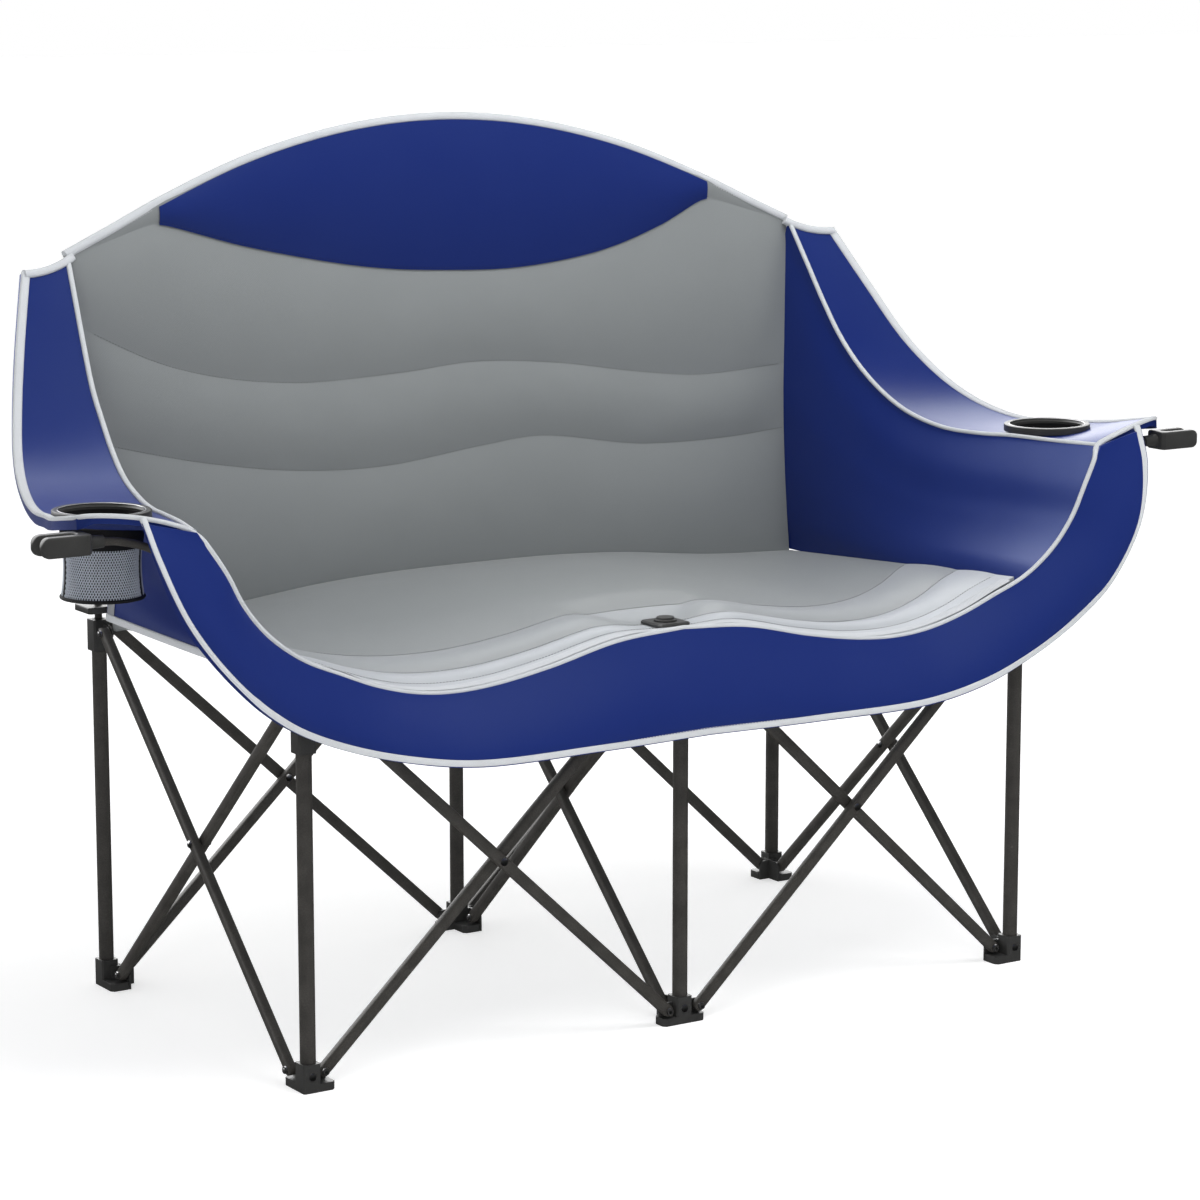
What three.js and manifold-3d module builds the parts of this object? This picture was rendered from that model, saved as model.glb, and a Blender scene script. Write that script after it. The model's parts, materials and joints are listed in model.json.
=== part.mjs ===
// Folding camping loveseat. Six telescoping posts stand in two rows of three and are tied by
// seven identical scissor pairs. A padded seat and back, two arms with their side panels and a
// front fascia hang on them. Millimetres, Z up, the front faces -Y and the floor is at zero.
import * as THREE from 'three';
import { mergeVertices } from 'three/addons/utils/BufferGeometryUtils.js';
import Module from 'manifold-3d';

const wasm = await Module();
wasm.setup();

// Overall frame
const frameWidth = 1000;
const overallHeight = 1045;
const runningGap = 0.3;
const softGap = 0.5;
const cutOverrun = 1;

// Scissor pivots, measured from the floor and from the post axes
const footPivotHeight = 18.6;
const hubPivotHeight = 443.6;
const pivotReachX = 22.5;
const pivotReachY = 29.85;

// Scissor bars, a flat-oval tube
const barHeight = 14;
const barThickness = 12;
const barWall = 1.2;
const barChamfer = 1.5;
const barSpacing = 0.4;

// Pivot pins and the ears that hold them
const pinDiameter = 6;
const pinHeadDiameter = 8.5;
const pinHeadHeight = 2.2;
const earThickness = 2.5;
const earFlare = 3;

// Posts and the tubes that slide in them
const postDiameter = 18;
const postWall = 1.5;
const sliderWall = 1.5;
const sliderTail = 110;
const sliderPlug = 20;

// Foot and hub mouldings
const blockSize = 22;
const blockChamfer = 2;
const footBlockHeight = 33;
const footSocketFloor = 3;
const footArmThickness = 9.5;
const footArmChamfer = 4;
const hubTopRise = 12.4;
const frontHubDrop = 57.6;
const rearHubDrop = 25.6;

// Clamp plates on the seat
const plateSize = 44;
const plateChamfer = 3;
const rearPlateThickness = 8;
const rearPlateRise = 10;
const capRise = 18;
const capThickness = 4;
const capSetback = 33;
const capButtonDiameter = 27;
const capButtonHeight = 5;
const capStemDiameter = 8;
const shelfThickness = 5;
const shelfWidth = 40;

// Rear poles and arm struts
const poleDiameter = 9;
const poleStraight = 24;
const strutStraight = 4;

// Fabric
const padThickness = 25;
const padEdgeThickness = 8;
const seatThickness = 24;
const seatEdgeThickness = 13;
const seatCrown = 8;
const backCrown = 9;
const backSetback = 39.75;
const backLeanShare = 0.12;
const panelThickness = 6;
const fasciaThickness = 6;
const fasciaBulge = 53;
const fasciaBow = 14;
const armThickness = 8;
const armSag = 4;
const armFrontBow = 13;
const armFrontLift = 8;
const sideClearance = 4;

// Cup holders
const cupRingDiameter = 110;
const cupMouthDiameter = 92;
const cupCollarWall = 3;
const cupFlangeHeight = 6;
const cupFlangeSink = 3;
const cupCollarDepth = 10;
const cupDepth = 92;
const cupWall = 1.8;
const cupWaistDiameter = 76;
const cupBaseDiameter = 82;

// Stemmed-glass clips
const clipLength = 62;
const clipHeight = 20;
const clipProng = 11;
const clipSlot = 12;
const clipRoot = 16;

// Values that follow from the ones above
const span = frameWidth / 2 - 2 * pivotReachX;
const frameDepth = span + 2 * pivotReachY;
const rise = hubPivotHeight - footPivotHeight;
const barLength = Math.hypot(span, rise);
const barEnd = barHeight / 2;
const hubTop = hubPivotHeight + hubTopRise;
const softRise = overallHeight - hubPivotHeight;
const sliderDiameter = postDiameter - 2 * postWall - 2 * runningGap;
const pinClearRadius = pinDiameter / 2 + runningGap;
const rivetReach = barSpacing / 2 + barThickness + runningGap + pinHeadHeight;
const frontFace = frameDepth / 2 + rivetReach;
const shelfTop = hubTop;
const layerStart = { outer: barSpacing / 2, inner: -barSpacing / 2 - barThickness };

// Facet counts
const tubeSides = 12;
const pinSides = 8;
const rodSides = 10;
const endSides = 2;
const ringSides = 20;
const padColumns = 20;
const samplesPerPoint = 20;

const powderCoat = { color: 0x3e3e3c, roughness: 0.55, metalness: 0.4 };
const blackPlastic = { color: 0x2b2b2b, roughness: 0.5, metalness: 0 };
const greyCloth = { color: 0x8c9194, roughness: 0.9, metalness: 0 };
const blueCloth = { color: 0x1e2e7a, roughness: 0.6, metalness: 0 };
const meshCloth = { color: 0x26262a, roughness: 0.9, metalness: 0 };

const loveseat = new THREE.Group();

// Geometry helpers

function solid(geometry) {
  const plain = geometry.clone();
  plain.deleteAttribute('normal');
  plain.deleteAttribute('uv');
  const merged = mergeVertices(plain);
  return new wasm.Manifold(new wasm.Mesh({
    numProp: 3,
    vertProperties: merged.attributes.position.array,
    triVerts: merged.index.array,
  }));
}

function shell(manifold) {
  const mesh = manifold.getMesh();
  const geometry = new THREE.BufferGeometry();
  geometry.setAttribute('position', new THREE.BufferAttribute(mesh.vertProperties, 3));
  geometry.setIndex(new THREE.BufferAttribute(mesh.triVerts, 1));
  geometry.computeVertexNormals();
  return geometry;
}

function joined(pieces) {
  return pieces.reduce((whole, piece) => whole.add(piece));
}

function addNode(name, geometry, finish, place = [0, 0, 0]) {
  const mesh = new THREE.Mesh(geometry, new THREE.MeshStandardMaterial(finish));
  mesh.name = name;
  mesh.position.set(...place);
  loveseat.add(mesh);
  return mesh;
}

function box(low, high) {
  const size = high.map((value, axis) => value - low[axis]);
  const geometry = new THREE.BoxGeometry(...size);
  geometry.translate(...low.map((value, axis) => value + size[axis] / 2));
  return geometry;
}

// A straight prism of an outline drawn in X and Y, between two heights
function prism(points, bottom, top) {
  const shape = new THREE.Shape(points.map(([x, y]) => new THREE.Vector2(x, y)));
  const geometry = new THREE.ExtrudeGeometry(shape, { depth: top - bottom, bevelEnabled: false });
  geometry.translate(0, 0, bottom);
  return geometry;
}

// A plate whose outline is drawn in X and Z, with its faces at two places along Y
function uprightPlate(shape, low, high) {
  const options = { depth: high - low, bevelEnabled: false, curveSegments: endSides };
  const geometry = new THREE.ExtrudeGeometry(shape, options);
  geometry.rotateX(Math.PI / 2);
  geometry.translate(0, high, 0);
  return geometry;
}

// A round pin along Y
function crossPin(radius, low, high, x, z) {
  const geometry = new THREE.CylinderGeometry(radius, radius, high - low, pinSides);
  geometry.translate(x, (low + high) / 2, z);
  return geometry;
}

// A round bar along Z
function uprightPin(radius, bottom, top, sides = tubeSides) {
  const geometry = new THREE.CylinderGeometry(radius, radius, top - bottom, sides);
  geometry.rotateX(Math.PI / 2);
  geometry.translate(0, 0, (bottom + top) / 2);
  return geometry;
}

// A closed ring turned about Z from its half profile of radius and height
function turned(profile, sides = ringSides) {
  const closed = [...profile, profile[0]];
  const geometry = new THREE.LatheGeometry(closed.map(([r, z]) => new THREE.Vector2(r, z)), sides);
  geometry.rotateX(Math.PI / 2);
  return outward(geometry);
}

function tube(outerRadius, innerRadius, bottom, top) {
  return turned([[innerRadius, bottom], [outerRadius, bottom], [outerRadius, top], [innerRadius, top]],
    tubeSides);
}

function signedVolume(geometry) {
  const place = geometry.attributes.position;
  const index = geometry.index;
  const corner = [new THREE.Vector3(), new THREE.Vector3(), new THREE.Vector3()];
  let volume = 0;
  for (let i = 0; i < index.count; i += 3) {
    corner.forEach((point, k) => point.fromBufferAttribute(place, index.getX(i + k)));
    volume += corner[0].dot(corner[1].clone().cross(corner[2]));
  }
  return volume;
}

// The same closed surface with its faces pointing out
function outward(geometry) {
  if (signedVolume(geometry) < 0) {
    const index = geometry.index;
    for (let i = 0; i < index.count; i += 3) {
      const second = index.getX(i + 1);
      index.setX(i + 1, index.getX(i + 2));
      index.setX(i + 2, second);
    }
    geometry.computeVertexNormals();
  }
  return geometry;
}

function mirrored(geometry) {
  const copy = geometry.clone();
  copy.scale(-1, 1, 1);
  return outward(copy);
}

function chamferedSquare(size, chamfer) {
  const half = size / 2;
  const inner = half - chamfer;
  return [[-inner, -half], [inner, -half], [half, -inner], [half, inner],
    [inner, half], [-inner, half], [-half, inner], [-half, -inner]];
}

// A closed sheet or pad between a face and its underside, both given over the unit square
function quilt(columns, rows, face, underside) {
  const points = [];
  for (const side of [face, underside]) {
    for (let row = 0; row <= rows; row += 1) {
      for (let column = 0; column <= columns; column += 1) {
        points.push(...side(column / columns, row / rows));
      }
    }
  }
  const stride = columns + 1;
  const layer = stride * (rows + 1);
  const index = [];
  const quad = (a, b, c, d) => index.push(a, b, c, a, c, d);
  for (let row = 0; row < rows; row += 1) {
    for (let column = 0; column < columns; column += 1) {
      const a = row * stride + column;
      quad(a, a + 1, a + stride + 1, a + stride);
      quad(layer + a, layer + a + stride, layer + a + stride + 1, layer + a + 1);
    }
  }
  for (let column = 0; column < columns; column += 1) {
    const last = rows * stride + column;
    quad(column, layer + column, layer + column + 1, column + 1);
    quad(last, last + 1, layer + last + 1, layer + last);
  }
  for (let row = 0; row < rows; row += 1) {
    const a = row * stride;
    const b = a + columns;
    quad(a, a + stride, layer + a + stride, layer + a);
    quad(b, layer + b, layer + b + stride, b + stride);
  }
  const geometry = new THREE.BufferGeometry();
  geometry.setAttribute('position', new THREE.Float32BufferAttribute(points, 3));
  geometry.setIndex(index);
  geometry.computeVertexNormals();
  return outward(geometry);
}

// The point of a surface moved along its own normal
function offset(surface, s, t, depth) {
  const step = 0.01;
  const at = (a, b) => new THREE.Vector3(...surface(
    THREE.MathUtils.clamp(a, 0, 1), THREE.MathUtils.clamp(b, 0, 1)));
  const along = at(s + step, t).sub(at(s - step, t));
  const across = at(s, t + step).sub(at(s, t - step));
  const normal = along.cross(across).normalize();
  return at(s, t).addScaledVector(normal, depth).toArray();
}

// A curve through points given as shares of frame width, frame depth and the rise of the soft
// goods above the hub pivots
function softCurve(shares) {
  const points = shares.map(([x, y, z]) => new THREE.Vector3(
    x * frameWidth, y * frameDepth, hubPivotHeight + z * softRise));
  const curve = new THREE.CatmullRomCurve3(points, false, 'centripetal');
  return (t) => curve.getPointAt(THREE.MathUtils.clamp(t, 0, 1));
}

// A smooth value over a share, through a table of pairs of share and value
function smooth(shares) {
  const points = shares.map(([at, value]) => new THREE.Vector3(at, value, 0));
  const samples = new THREE.CatmullRomCurve3(points, false, 'centripetal')
    .getPoints(samplesPerPoint * points.length);
  return (share) => {
    const found = samples.findIndex((point) => point.x >= share);
    const next = found < 0 ? samples.length - 1 : Math.max(1, found);
    const before = samples[next - 1];
    const after = samples[next];
    return before.y + (after.y - before.y) * (share - before.x) / (after.x - before.x);
  };
}

// The same over a place across the frame, for a table that covers one half or both
function profile(shares) {
  const half = shares[0][0] === 0;
  const mirror = half ? shares.slice(1).reverse().map(([at, value]) => [-at, value]) : [];
  const value = smooth([...mirror, ...shares]);
  return (x) => value(x / frameWidth);
}

// Scissor pairs. In each, the outer bar runs from the foot of the low post to the hub of the
// high post, and the inner bar the other way.

const posts = {
  front_left: [-1, -1],
  front_middle: [0, -1],
  front_right: [1, -1],
  rear_left: [-1, 1],
  rear_middle: [0, 1],
  rear_right: [1, 1],
};

const scissors = [
  { name: 'front_left', low: 'front_middle', high: 'front_left', outward: [0, -1] },
  { name: 'front_right', low: 'front_middle', high: 'front_right', outward: [0, -1] },
  { name: 'rear_left', low: 'rear_middle', high: 'rear_left', outward: [0, 1] },
  { name: 'rear_right', low: 'rear_middle', high: 'rear_right', outward: [0, 1] },
  { name: 'side_left', low: 'front_left', high: 'rear_left', outward: [-1, 0] },
  { name: 'side_right', low: 'front_right', high: 'rear_right', outward: [1, 0] },
  { name: 'middle', low: 'front_middle', high: 'rear_middle', outward: [-1, 0] },
];

function postPlace(name) {
  const [column, row] = posts[name];
  return new THREE.Vector3(column * frameWidth / 2, row * frameDepth / 2, 0);
}

function headingBetween(from, to) {
  return postPlace(to).sub(postPlace(from)).normalize();
}

function reachAlong(heading) {
  return Math.abs(heading.x) > Math.abs(heading.y) ? pivotReachX : pivotReachY;
}

const footArms = {};
const hubArms = {};
for (const name of Object.keys(posts)) {
  footArms[name] = [];
  hubArms[name] = [];
}
for (const { low, high, outward: away } of scissors) {
  footArms[low].push({ heading: headingBetween(low, high), away, layer: 'outer' });
  hubArms[high].push({ heading: headingBetween(high, low), away, layer: 'outer' });
  footArms[high].push({ heading: headingBetween(high, low), away, layer: 'inner' });
  hubArms[low].push({ heading: headingBetween(low, high), away, layer: 'inner' });
}

function barShape() {
  const shape = new THREE.Shape();
  const inset = barEnd - barChamfer;
  shape.absarc(0, 0, inset, Math.PI / 2, 3 * Math.PI / 2);
  shape.absarc(barLength, 0, inset, -Math.PI / 2, Math.PI / 2);
  return shape;
}

// A bar drawn along X from its lower to its upper pivot, its inner face at zero along Z
function barGeometry(layer) {
  const body = new THREE.ExtrudeGeometry(barShape(), {
    depth: barThickness - 2 * barChamfer,
    curveSegments: endSides,
    bevelThickness: barChamfer,
    bevelSize: barChamfer,
    bevelSegments: 1,
  });
  body.translate(0, 0, barChamfer);
  const reach = barEnd + cutOverrun;
  const hollow = box([-reach, barWall - barEnd, barWall],
    [barLength + reach, barEnd - barWall, barThickness - barWall]);
  const hole = (x, radius) => {
    const geometry = uprightPin(radius, -cutOverrun, barThickness + cutOverrun, pinSides);
    geometry.translate(x, 0, 0);
    return solid(geometry);
  };
  let bar = solid(body).subtract(solid(hollow));
  bar = bar.subtract(hole(0, pinClearRadius)).subtract(hole(barLength, pinClearRadius));
  if (layer === 'inner') return shell(bar.subtract(hole(barLength / 2, pinClearRadius)));
  const far = -barSpacing - barThickness - runningGap;
  const rivet = [
    uprightPin(pinDiameter / 2, far - cutOverrun, barWall / 2, pinSides),
    uprightPin(pinHeadDiameter / 2, far - pinHeadHeight, far, pinSides),
    uprightPin(pinHeadDiameter / 2, barThickness - barWall / 2, barThickness + pinHeadHeight, pinSides),
  ].map((geometry) => {
    geometry.translate(barLength / 2, 0, 0);
    return solid(geometry);
  });
  return shell(joined([bar, ...rivet]));
}

const barBodies = { outer: barGeometry('outer'), inner: barGeometry('inner') };

function addBar(scissor, layer) {
  const [start, end] = layer === 'outer' ? [scissor.low, scissor.high] : [scissor.high, scissor.low];
  const heading = headingBetween(start, end);
  const away = new THREE.Vector3(...scissor.outward, 0);
  const mesh = addNode(`bar_${scissor.name}_${layer}`, barBodies[layer], powderCoat);
  const along = heading.clone().multiplyScalar(span).setZ(rise).normalize();
  mesh.quaternion.setFromRotationMatrix(
    new THREE.Matrix4().makeBasis(along, away.clone().cross(along), away));
  mesh.position.copy(postPlace(start)).addScaledVector(heading, reachAlong(heading))
    .addScaledVector(away, layerStart[layer]).setZ(footPivotHeight);
}

for (const scissor of scissors) {
  addBar(scissor, 'outer');
  addBar(scissor, 'inner');
}

// Feet and hubs. An arm is drawn along X with its outward side towards +Y or -Y, then turned.

function armFrame({ heading, away }) {
  const left = new THREE.Vector2(-heading.y, heading.x);
  const sign = Math.sign(left.x * away[0] + left.y * away[1]);
  const place = (geometry) => {
    geometry.rotateZ(Math.atan2(heading.y, heading.x));
    return solid(geometry);
  };
  const across = (low, high) => (sign > 0 ? [low, high] : [-high, -low]);
  return { place, across };
}

function earSpan(layer) {
  const high = layerStart[layer] - runningGap;
  return [high - earThickness, high];
}

// The ear plate, its cheek beside the block, the pivot pin and the pin's head
function earPieces(arm, pivotHeight, outline, cheekLow, cheekHigh) {
  const { place, across } = armFrame(arm);
  const reach = reachAlong(arm.heading);
  const [earLow, earHigh] = earSpan(arm.layer);
  const barFace = layerStart[arm.layer] + barThickness + runningGap;
  const [cheekSideLow, cheekSideHigh] = across(earLow, 0);
  return [
    uprightPlate(outline(reach), ...across(earLow, earHigh)),
    box([0, cheekSideLow, cheekLow], [blockSize / 2, cheekSideHigh, cheekHigh]),
    crossPin(pinDiameter / 2, ...across(earLow + earThickness / 2, barFace + pinHeadHeight / 2),
      reach, pivotHeight),
    crossPin(pinHeadDiameter / 2, ...across(barFace, barFace + pinHeadHeight), reach, pivotHeight),
  ].map(place);
}

// A rivet head on the block's own outward face
function blockRivet(arm, height) {
  const { place, across } = armFrame(arm);
  const face = blockSize / 2;
  return place(crossPin(pinHeadDiameter / 2, ...across(face - cutOverrun, face + pinHeadHeight / 2),
    0, height));
}

function footEar(reach) {
  const shape = new THREE.Shape();
  shape.moveTo(0, 0);
  shape.lineTo(reach + barEnd, 0);
  shape.lineTo(reach + barEnd, footPivotHeight);
  shape.absarc(reach, footPivotHeight, barEnd, 0, Math.PI / 2);
  shape.lineTo(0, footPivotHeight + barEnd);
  return shape;
}

function hubEar(reach) {
  const shape = new THREE.Shape();
  shape.moveTo(0, hubPivotHeight - barEnd - earFlare);
  shape.lineTo(reach, hubPivotHeight - barEnd);
  shape.absarc(reach, hubPivotHeight, barEnd, -Math.PI / 2, Math.PI / 2);
  shape.lineTo(0, hubPivotHeight + barEnd + earFlare);
  return shape;
}

function footArm(arm) {
  const { place, across } = armFrame(arm);
  const [low, high] = across(Math.min(-blockSize / 2, earSpan(arm.layer)[0]), blockSize / 2);
  const tip = reachAlong(arm.heading) + barEnd;
  const inner = tip - footArmChamfer;
  return place(prism([[0, low], [inner, low], [tip, low + footArmChamfer],
    [tip, high - footArmChamfer], [inner, high], [0, high]], 0, footArmThickness));
}

function addFoot(name) {
  const arms = footArms[name];
  const block = solid(prism(chamferedSquare(blockSize, blockChamfer), 0, footBlockHeight));
  const pieces = arms.flatMap((arm) => [
    footArm(arm),
    ...earPieces(arm, footPivotHeight, footEar, 0, footPivotHeight + barEnd),
  ]);
  const socket = solid(uprightPin(postDiameter / 2 + runningGap, footSocketFloor,
    footBlockHeight + cutOverrun));
  const foot = joined([block, ...pieces, blockRivet(arms[0], footPivotHeight)]).subtract(socket);
  addNode(`foot_${name}`, shell(foot), blackPlastic, postPlace(name).toArray());
}

function hubDrop(name) {
  return posts[name][1] < 0 ? frontHubDrop : rearHubDrop;
}

function addHub(name) {
  const arms = hubArms[name];
  const bottom = hubPivotHeight - hubDrop(name);
  const pieces = arms.flatMap((arm) => earPieces(arm, hubPivotHeight, hubEar,
    hubPivotHeight - barEnd - earFlare, hubPivotHeight + barEnd + earFlare));
  pieces.push(solid(prism(chamferedSquare(blockSize, blockChamfer), bottom, hubTop)));
  pieces.push(blockRivet(arms[0], hubPivotHeight));
  if (name === 'front_middle') {
    pieces.push(solid(box([-shelfWidth / 2, -blockSize / 2, shelfTop - shelfThickness],
      [shelfWidth / 2, capSetback + plateSize / 2, shelfTop])));
  }
  const bore = solid(uprightPin(sliderDiameter / 2 + runningGap, bottom - cutOverrun,
    hubTop + cutOverrun));
  addNode(`hub_${name}`, shell(joined(pieces).subtract(bore)), blackPlastic, postPlace(name).toArray());
}

function addPost(name) {
  const top = hubPivotHeight - hubDrop(name) - runningGap;
  addNode(`post_${name}`,
    tube(postDiameter / 2, postDiameter / 2 - postWall, footSocketFloor + runningGap, top),
    powderCoat, postPlace(name).toArray());
}

for (const name of Object.keys(posts)) {
  addFoot(name);
  addPost(name);
  addHub(name);
}

// Seat pad. Its front edge is high over the posts and sags between them, and three sewn rolls
// run along the front.

const seatFrontShares = [[0, 0.052], [0.09, 0.042], [0.18, 0.008], [0.25, -0.012], [0.31, -0.017],
  [0.36, -0.009], [0.41, 0.014], [0.46, 0.05], [0.5, 0.074]];
const seatRearShares = [[0, 0.067], [0.12, 0.065], [0.22, 0.056], [0.37, 0.03], [0.5, 0.019]];
const seatSeamShares = [
  [[0, -0.443], [0.5, -0.43]],
  [[0, -0.365], [0.3, -0.345], [0.5, -0.28]],
  [[0, -0.215], [0.3, -0.19], [0.5, -0.075]],
];
const seatRowsPerBand = 3;
const seatFrontBulgeShare = -0.19;
const seatFrontY = fasciaThickness + softGap - frontFace - seatFrontBulgeShare * fasciaBulge;
const seatRearY = frameDepth / 2 - backSetback - 2 * softGap - panelThickness;
const seatHalfWidth = frameWidth / 2 - panelThickness / 2 - sideClearance;
const seatFrontProfile = profile(seatFrontShares);
const seatRearProfile = profile(seatRearShares);
const seatSeams = seatSeamShares.map(profile);

function seatLine(line, x) {
  if (line === 0) return seatFrontY;
  if (line > seatSeams.length) return seatRearY;
  return seatSeams[line - 1](x) * frameDepth;
}

function seatHeight(x, y) {
  const back = (y - seatFrontY) / (seatRearY - seatFrontY);
  const share = seatFrontProfile(x) * (1 - back) + seatRearProfile(x) * back;
  return hubPivotHeight + share * softRise;
}

function seatPoint(s, t, level) {
  const x = (2 * s - 1) * seatHalfWidth;
  const bands = seatSeams.length + 1;
  const band = Math.min(bands - 1, Math.floor(t * bands));
  const within = t * bands - band;
  const y = seatLine(band, x) + (seatLine(band + 1, x) - seatLine(band, x)) * within;
  const crown = 4 * within * (1 - within);
  const edge = 1 - (2 * s - 1) ** 8;
  const ends = Math.min(1, 4 * t, 6 * (1 - t));
  const thick = seatEdgeThickness + (seatThickness - seatEdgeThickness) * edge * ends;
  return [x, y, seatHeight(x, y) + level(crown * edge, thick)];
}

const capY = capSetback - frameDepth / 2;
const capBottom = hubTop + capRise;
const seatBands = seatSeams.length + 1;
const seatWhole = solid(quilt(padColumns, seatBands * seatRowsPerBand,
  (s, t) => seatPoint(s, t, (crown) => seatCrown * crown),
  (s, t) => seatPoint(s, t, (crown, thick) => -thick)));
const capReach = plateSize / 2 + runningGap;
const capPocket = solid(box([-capReach, capY - capReach, capBottom - runningGap],
  [capReach, capY + capReach, overallHeight]));
const stemGeometry = uprightPin(capStemDiameter / 2 + runningGap, hubTop - hubTopRise, capBottom);
stemGeometry.translate(0, capY, 0);
const shelfPocket = solid(box([-shelfWidth / 2 - runningGap, -frameDepth, 0],
  [shelfWidth / 2 + runningGap, capY + capReach, shelfTop + runningGap]));
const seatPad = seatWhole.subtract(capPocket).subtract(solid(stemGeometry)).subtract(shelfPocket);

const seatHingeFront = capY + plateSize / 2 + cutOverrun;
const seatFold = (seatHingeFront + seatRearY) / 2;
function addSeatPiece(name, low, high) {
  const slice = solid(box([-frameWidth, low, 0], [frameWidth, high, overallHeight]));
  addNode(name, shell(seatPad.intersect(slice)), greyCloth);
}
addSeatPiece('seat_front_roll', -frameDepth, seatHingeFront - runningGap / 2);
addSeatPiece('seat_front_half', seatHingeFront + runningGap / 2, seatFold - runningGap / 2);
addSeatPiece('seat_rear_half', seatFold + runningGap / 2, frameDepth);

// The seat cap clamps the seat to the shelf of the front middle hub
const capPlate = solid(prism(chamferedSquare(plateSize, plateChamfer), capBottom,
  capBottom + capThickness));
const capButton = solid(uprightPin(capButtonDiameter / 2, capBottom + capThickness / 2,
  capBottom + capThickness + capButtonHeight));
const capStem = solid(uprightPin(capStemDiameter / 2, shelfTop + runningGap,
  capBottom + capThickness / 2));
addNode('seat_cap', shell(joined([capPlate, capButton, capStem])), blackPlastic, [0, capY, 0]);

for (const name of ['rear_left', 'rear_middle', 'rear_right']) {
  const bottom = hubTop + rearPlateRise;
  const plate = solid(prism(chamferedSquare(plateSize, plateChamfer), bottom,
    bottom + rearPlateThickness));
  const hole = solid(uprightPin(poleDiameter / 2 + runningGap, bottom - cutOverrun,
    bottom + rearPlateThickness + cutOverrun));
  addNode(`plate_${name}`, shell(plate.subtract(hole)), blackPlastic, postPlace(name).toArray());
}

// Back pad. Two wavy seams cross it, and its top rim is an arch.

const backTopShares = [[0, 1], [0.09, 0.992], [0.18, 0.968], [0.28, 0.924], [0.39, 0.854],
  [0.47, 0.794], [0.53, 0.75]];
const backUpperShares = [[-0.53, 0.62], [-0.39, 0.514], [-0.24, 0.47], [-0.08, 0.474],
  [0.03, 0.486], [0.15, 0.471], [0.28, 0.438], [0.37, 0.423], [0.53, 0.436]];
const backLowerShares = [[-0.53, 0.39], [-0.37, 0.325], [-0.23, 0.29], [-0.11, 0.285],
  [0.03, 0.31], [0.12, 0.32], [0.27, 0.285], [0.4, 0.282], [0.53, 0.297]];
const backBottomShares = [[0, 0.057], [0.1, 0.055], [0.21, 0.045], [0.37, 0.015], [0.48, 0.004]];
const backSideShares = [[0, 0.489], [0.2, 0.491], [0.45, 0.5], [1, 0.5225]];
const backRowsPerBand = 3;

const backTop = profile(backTopShares);
const backBottom = profile(backBottomShares);
const backSide = smooth(backSideShares);
const backLines = [backBottom, profile(backLowerShares), profile(backUpperShares), backTop];

function backPlane(z) {
  return frameDepth / 2 - backSetback + backLeanShare * (z - hubTop);
}

function backPoint(s, t, level) {
  const side = 2 * s - 1;
  const halfWidth = backSide(t) * frameWidth;
  const x = side * halfWidth;
  const bands = backLines.length - 1;
  const band = Math.min(bands - 1, Math.floor(t * bands));
  const within = t * bands - band;
  const share = backLines[band](x) + (backLines[band + 1](x) - backLines[band](x)) * within;
  const z = hubPivotHeight + share * softRise;
  const edge = 1 - side ** 8;
  const ends = Math.min(1, 6 * t, 6 * (1 - t));
  const crown = 4 * within * (1 - within) * edge;
  const thick = padEdgeThickness + (padThickness - padEdgeThickness) * edge * ends;
  return [x, backPlane(z) + level(crown, thick), z];
}

addNode('back_pad', quilt(padColumns, (backLines.length - 1) * backRowsPerBand,
  (s, t) => backPoint(s, t, (crown) => -backCrown * crown),
  (s, t) => backPoint(s, t, (crown, thick) => thick)), greyCloth);

// Arms. Each is one panel from the back's top corner down and forward as the armrest, between
// the inner piping and the outer rim.

const pipingShares = [[0.526, 0.515, 0.744], [0.532, 0.447, 0.651], [0.537, 0.39, 0.573],
  [0.542, 0.332, 0.503], [0.547, 0.261, 0.442], [0.554, 0.183, 0.392], [0.562, 0.096, 0.354],
  [0.573, -0.026, 0.329], [0.588, -0.15, 0.325], [0.598, -0.23, 0.328], [0.61, -0.363, 0.329],
  [0.627, -0.505, 0.33]];
const rimShares = [[0.589, 0.488, 0.724], [0.619, 0.398, 0.601], [0.646, 0.307, 0.488],
  [0.669, 0.214, 0.412], [0.686, 0.125, 0.368], [0.702, 0.02, 0.341], [0.716, -0.084, 0.334],
  [0.73, -0.194, 0.341], [0.744, -0.285, 0.348], [0.748, -0.369, 0.358], [0.75, -0.448, 0.367]];
const piping = softCurve(pipingShares);
const rim = softCurve(rimShares);
const armFrontShare = 0.16;
const armColumns = 4;
const armRows = 14;

// s runs from the piping to the rim, t from the back's corner to the front edge
function armSurface(s, t) {
  const point = piping(t).lerp(rim(t), s);
  const arch = 4 * s * (1 - s);
  const front = THREE.MathUtils.smoothstep(t, 1 - armFrontShare, 1);
  point.y += front * (fasciaThickness + 2 * softGap - armFrontBow * arch);
  point.z += arch * (front * armFrontLift - (1 - front) * armSag);
  return point.toArray();
}

const cupShare = [0.666, -0.212];
const cupX = cupShare[0] * frameWidth;
const cupY = cupShare[1] * frameDepth;

// The share along the arm at which its middle passes a place in Y
function armStation(y) {
  let low = 0;
  let high = 1;
  for (let i = 0; i < 30; i += 1) {
    const middle = (low + high) / 2;
    if (armSurface(0.5, middle)[1] > y) low = middle;
    else high = middle;
  }
  return low;
}

const cupStation = armStation(cupY);
const armInner = armSurface(0, cupStation);
const armOuter = armSurface(1, cupStation);
const armRoll = Math.atan2(armOuter[2] - armInner[2], armOuter[0] - armInner[0]);
const cupTiltShare = 0.2;
const cupFlangeRadius = cupRingDiameter / 2;
const cupCollarRadius = cupMouthDiameter / 2 + cupCollarWall;

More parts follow.
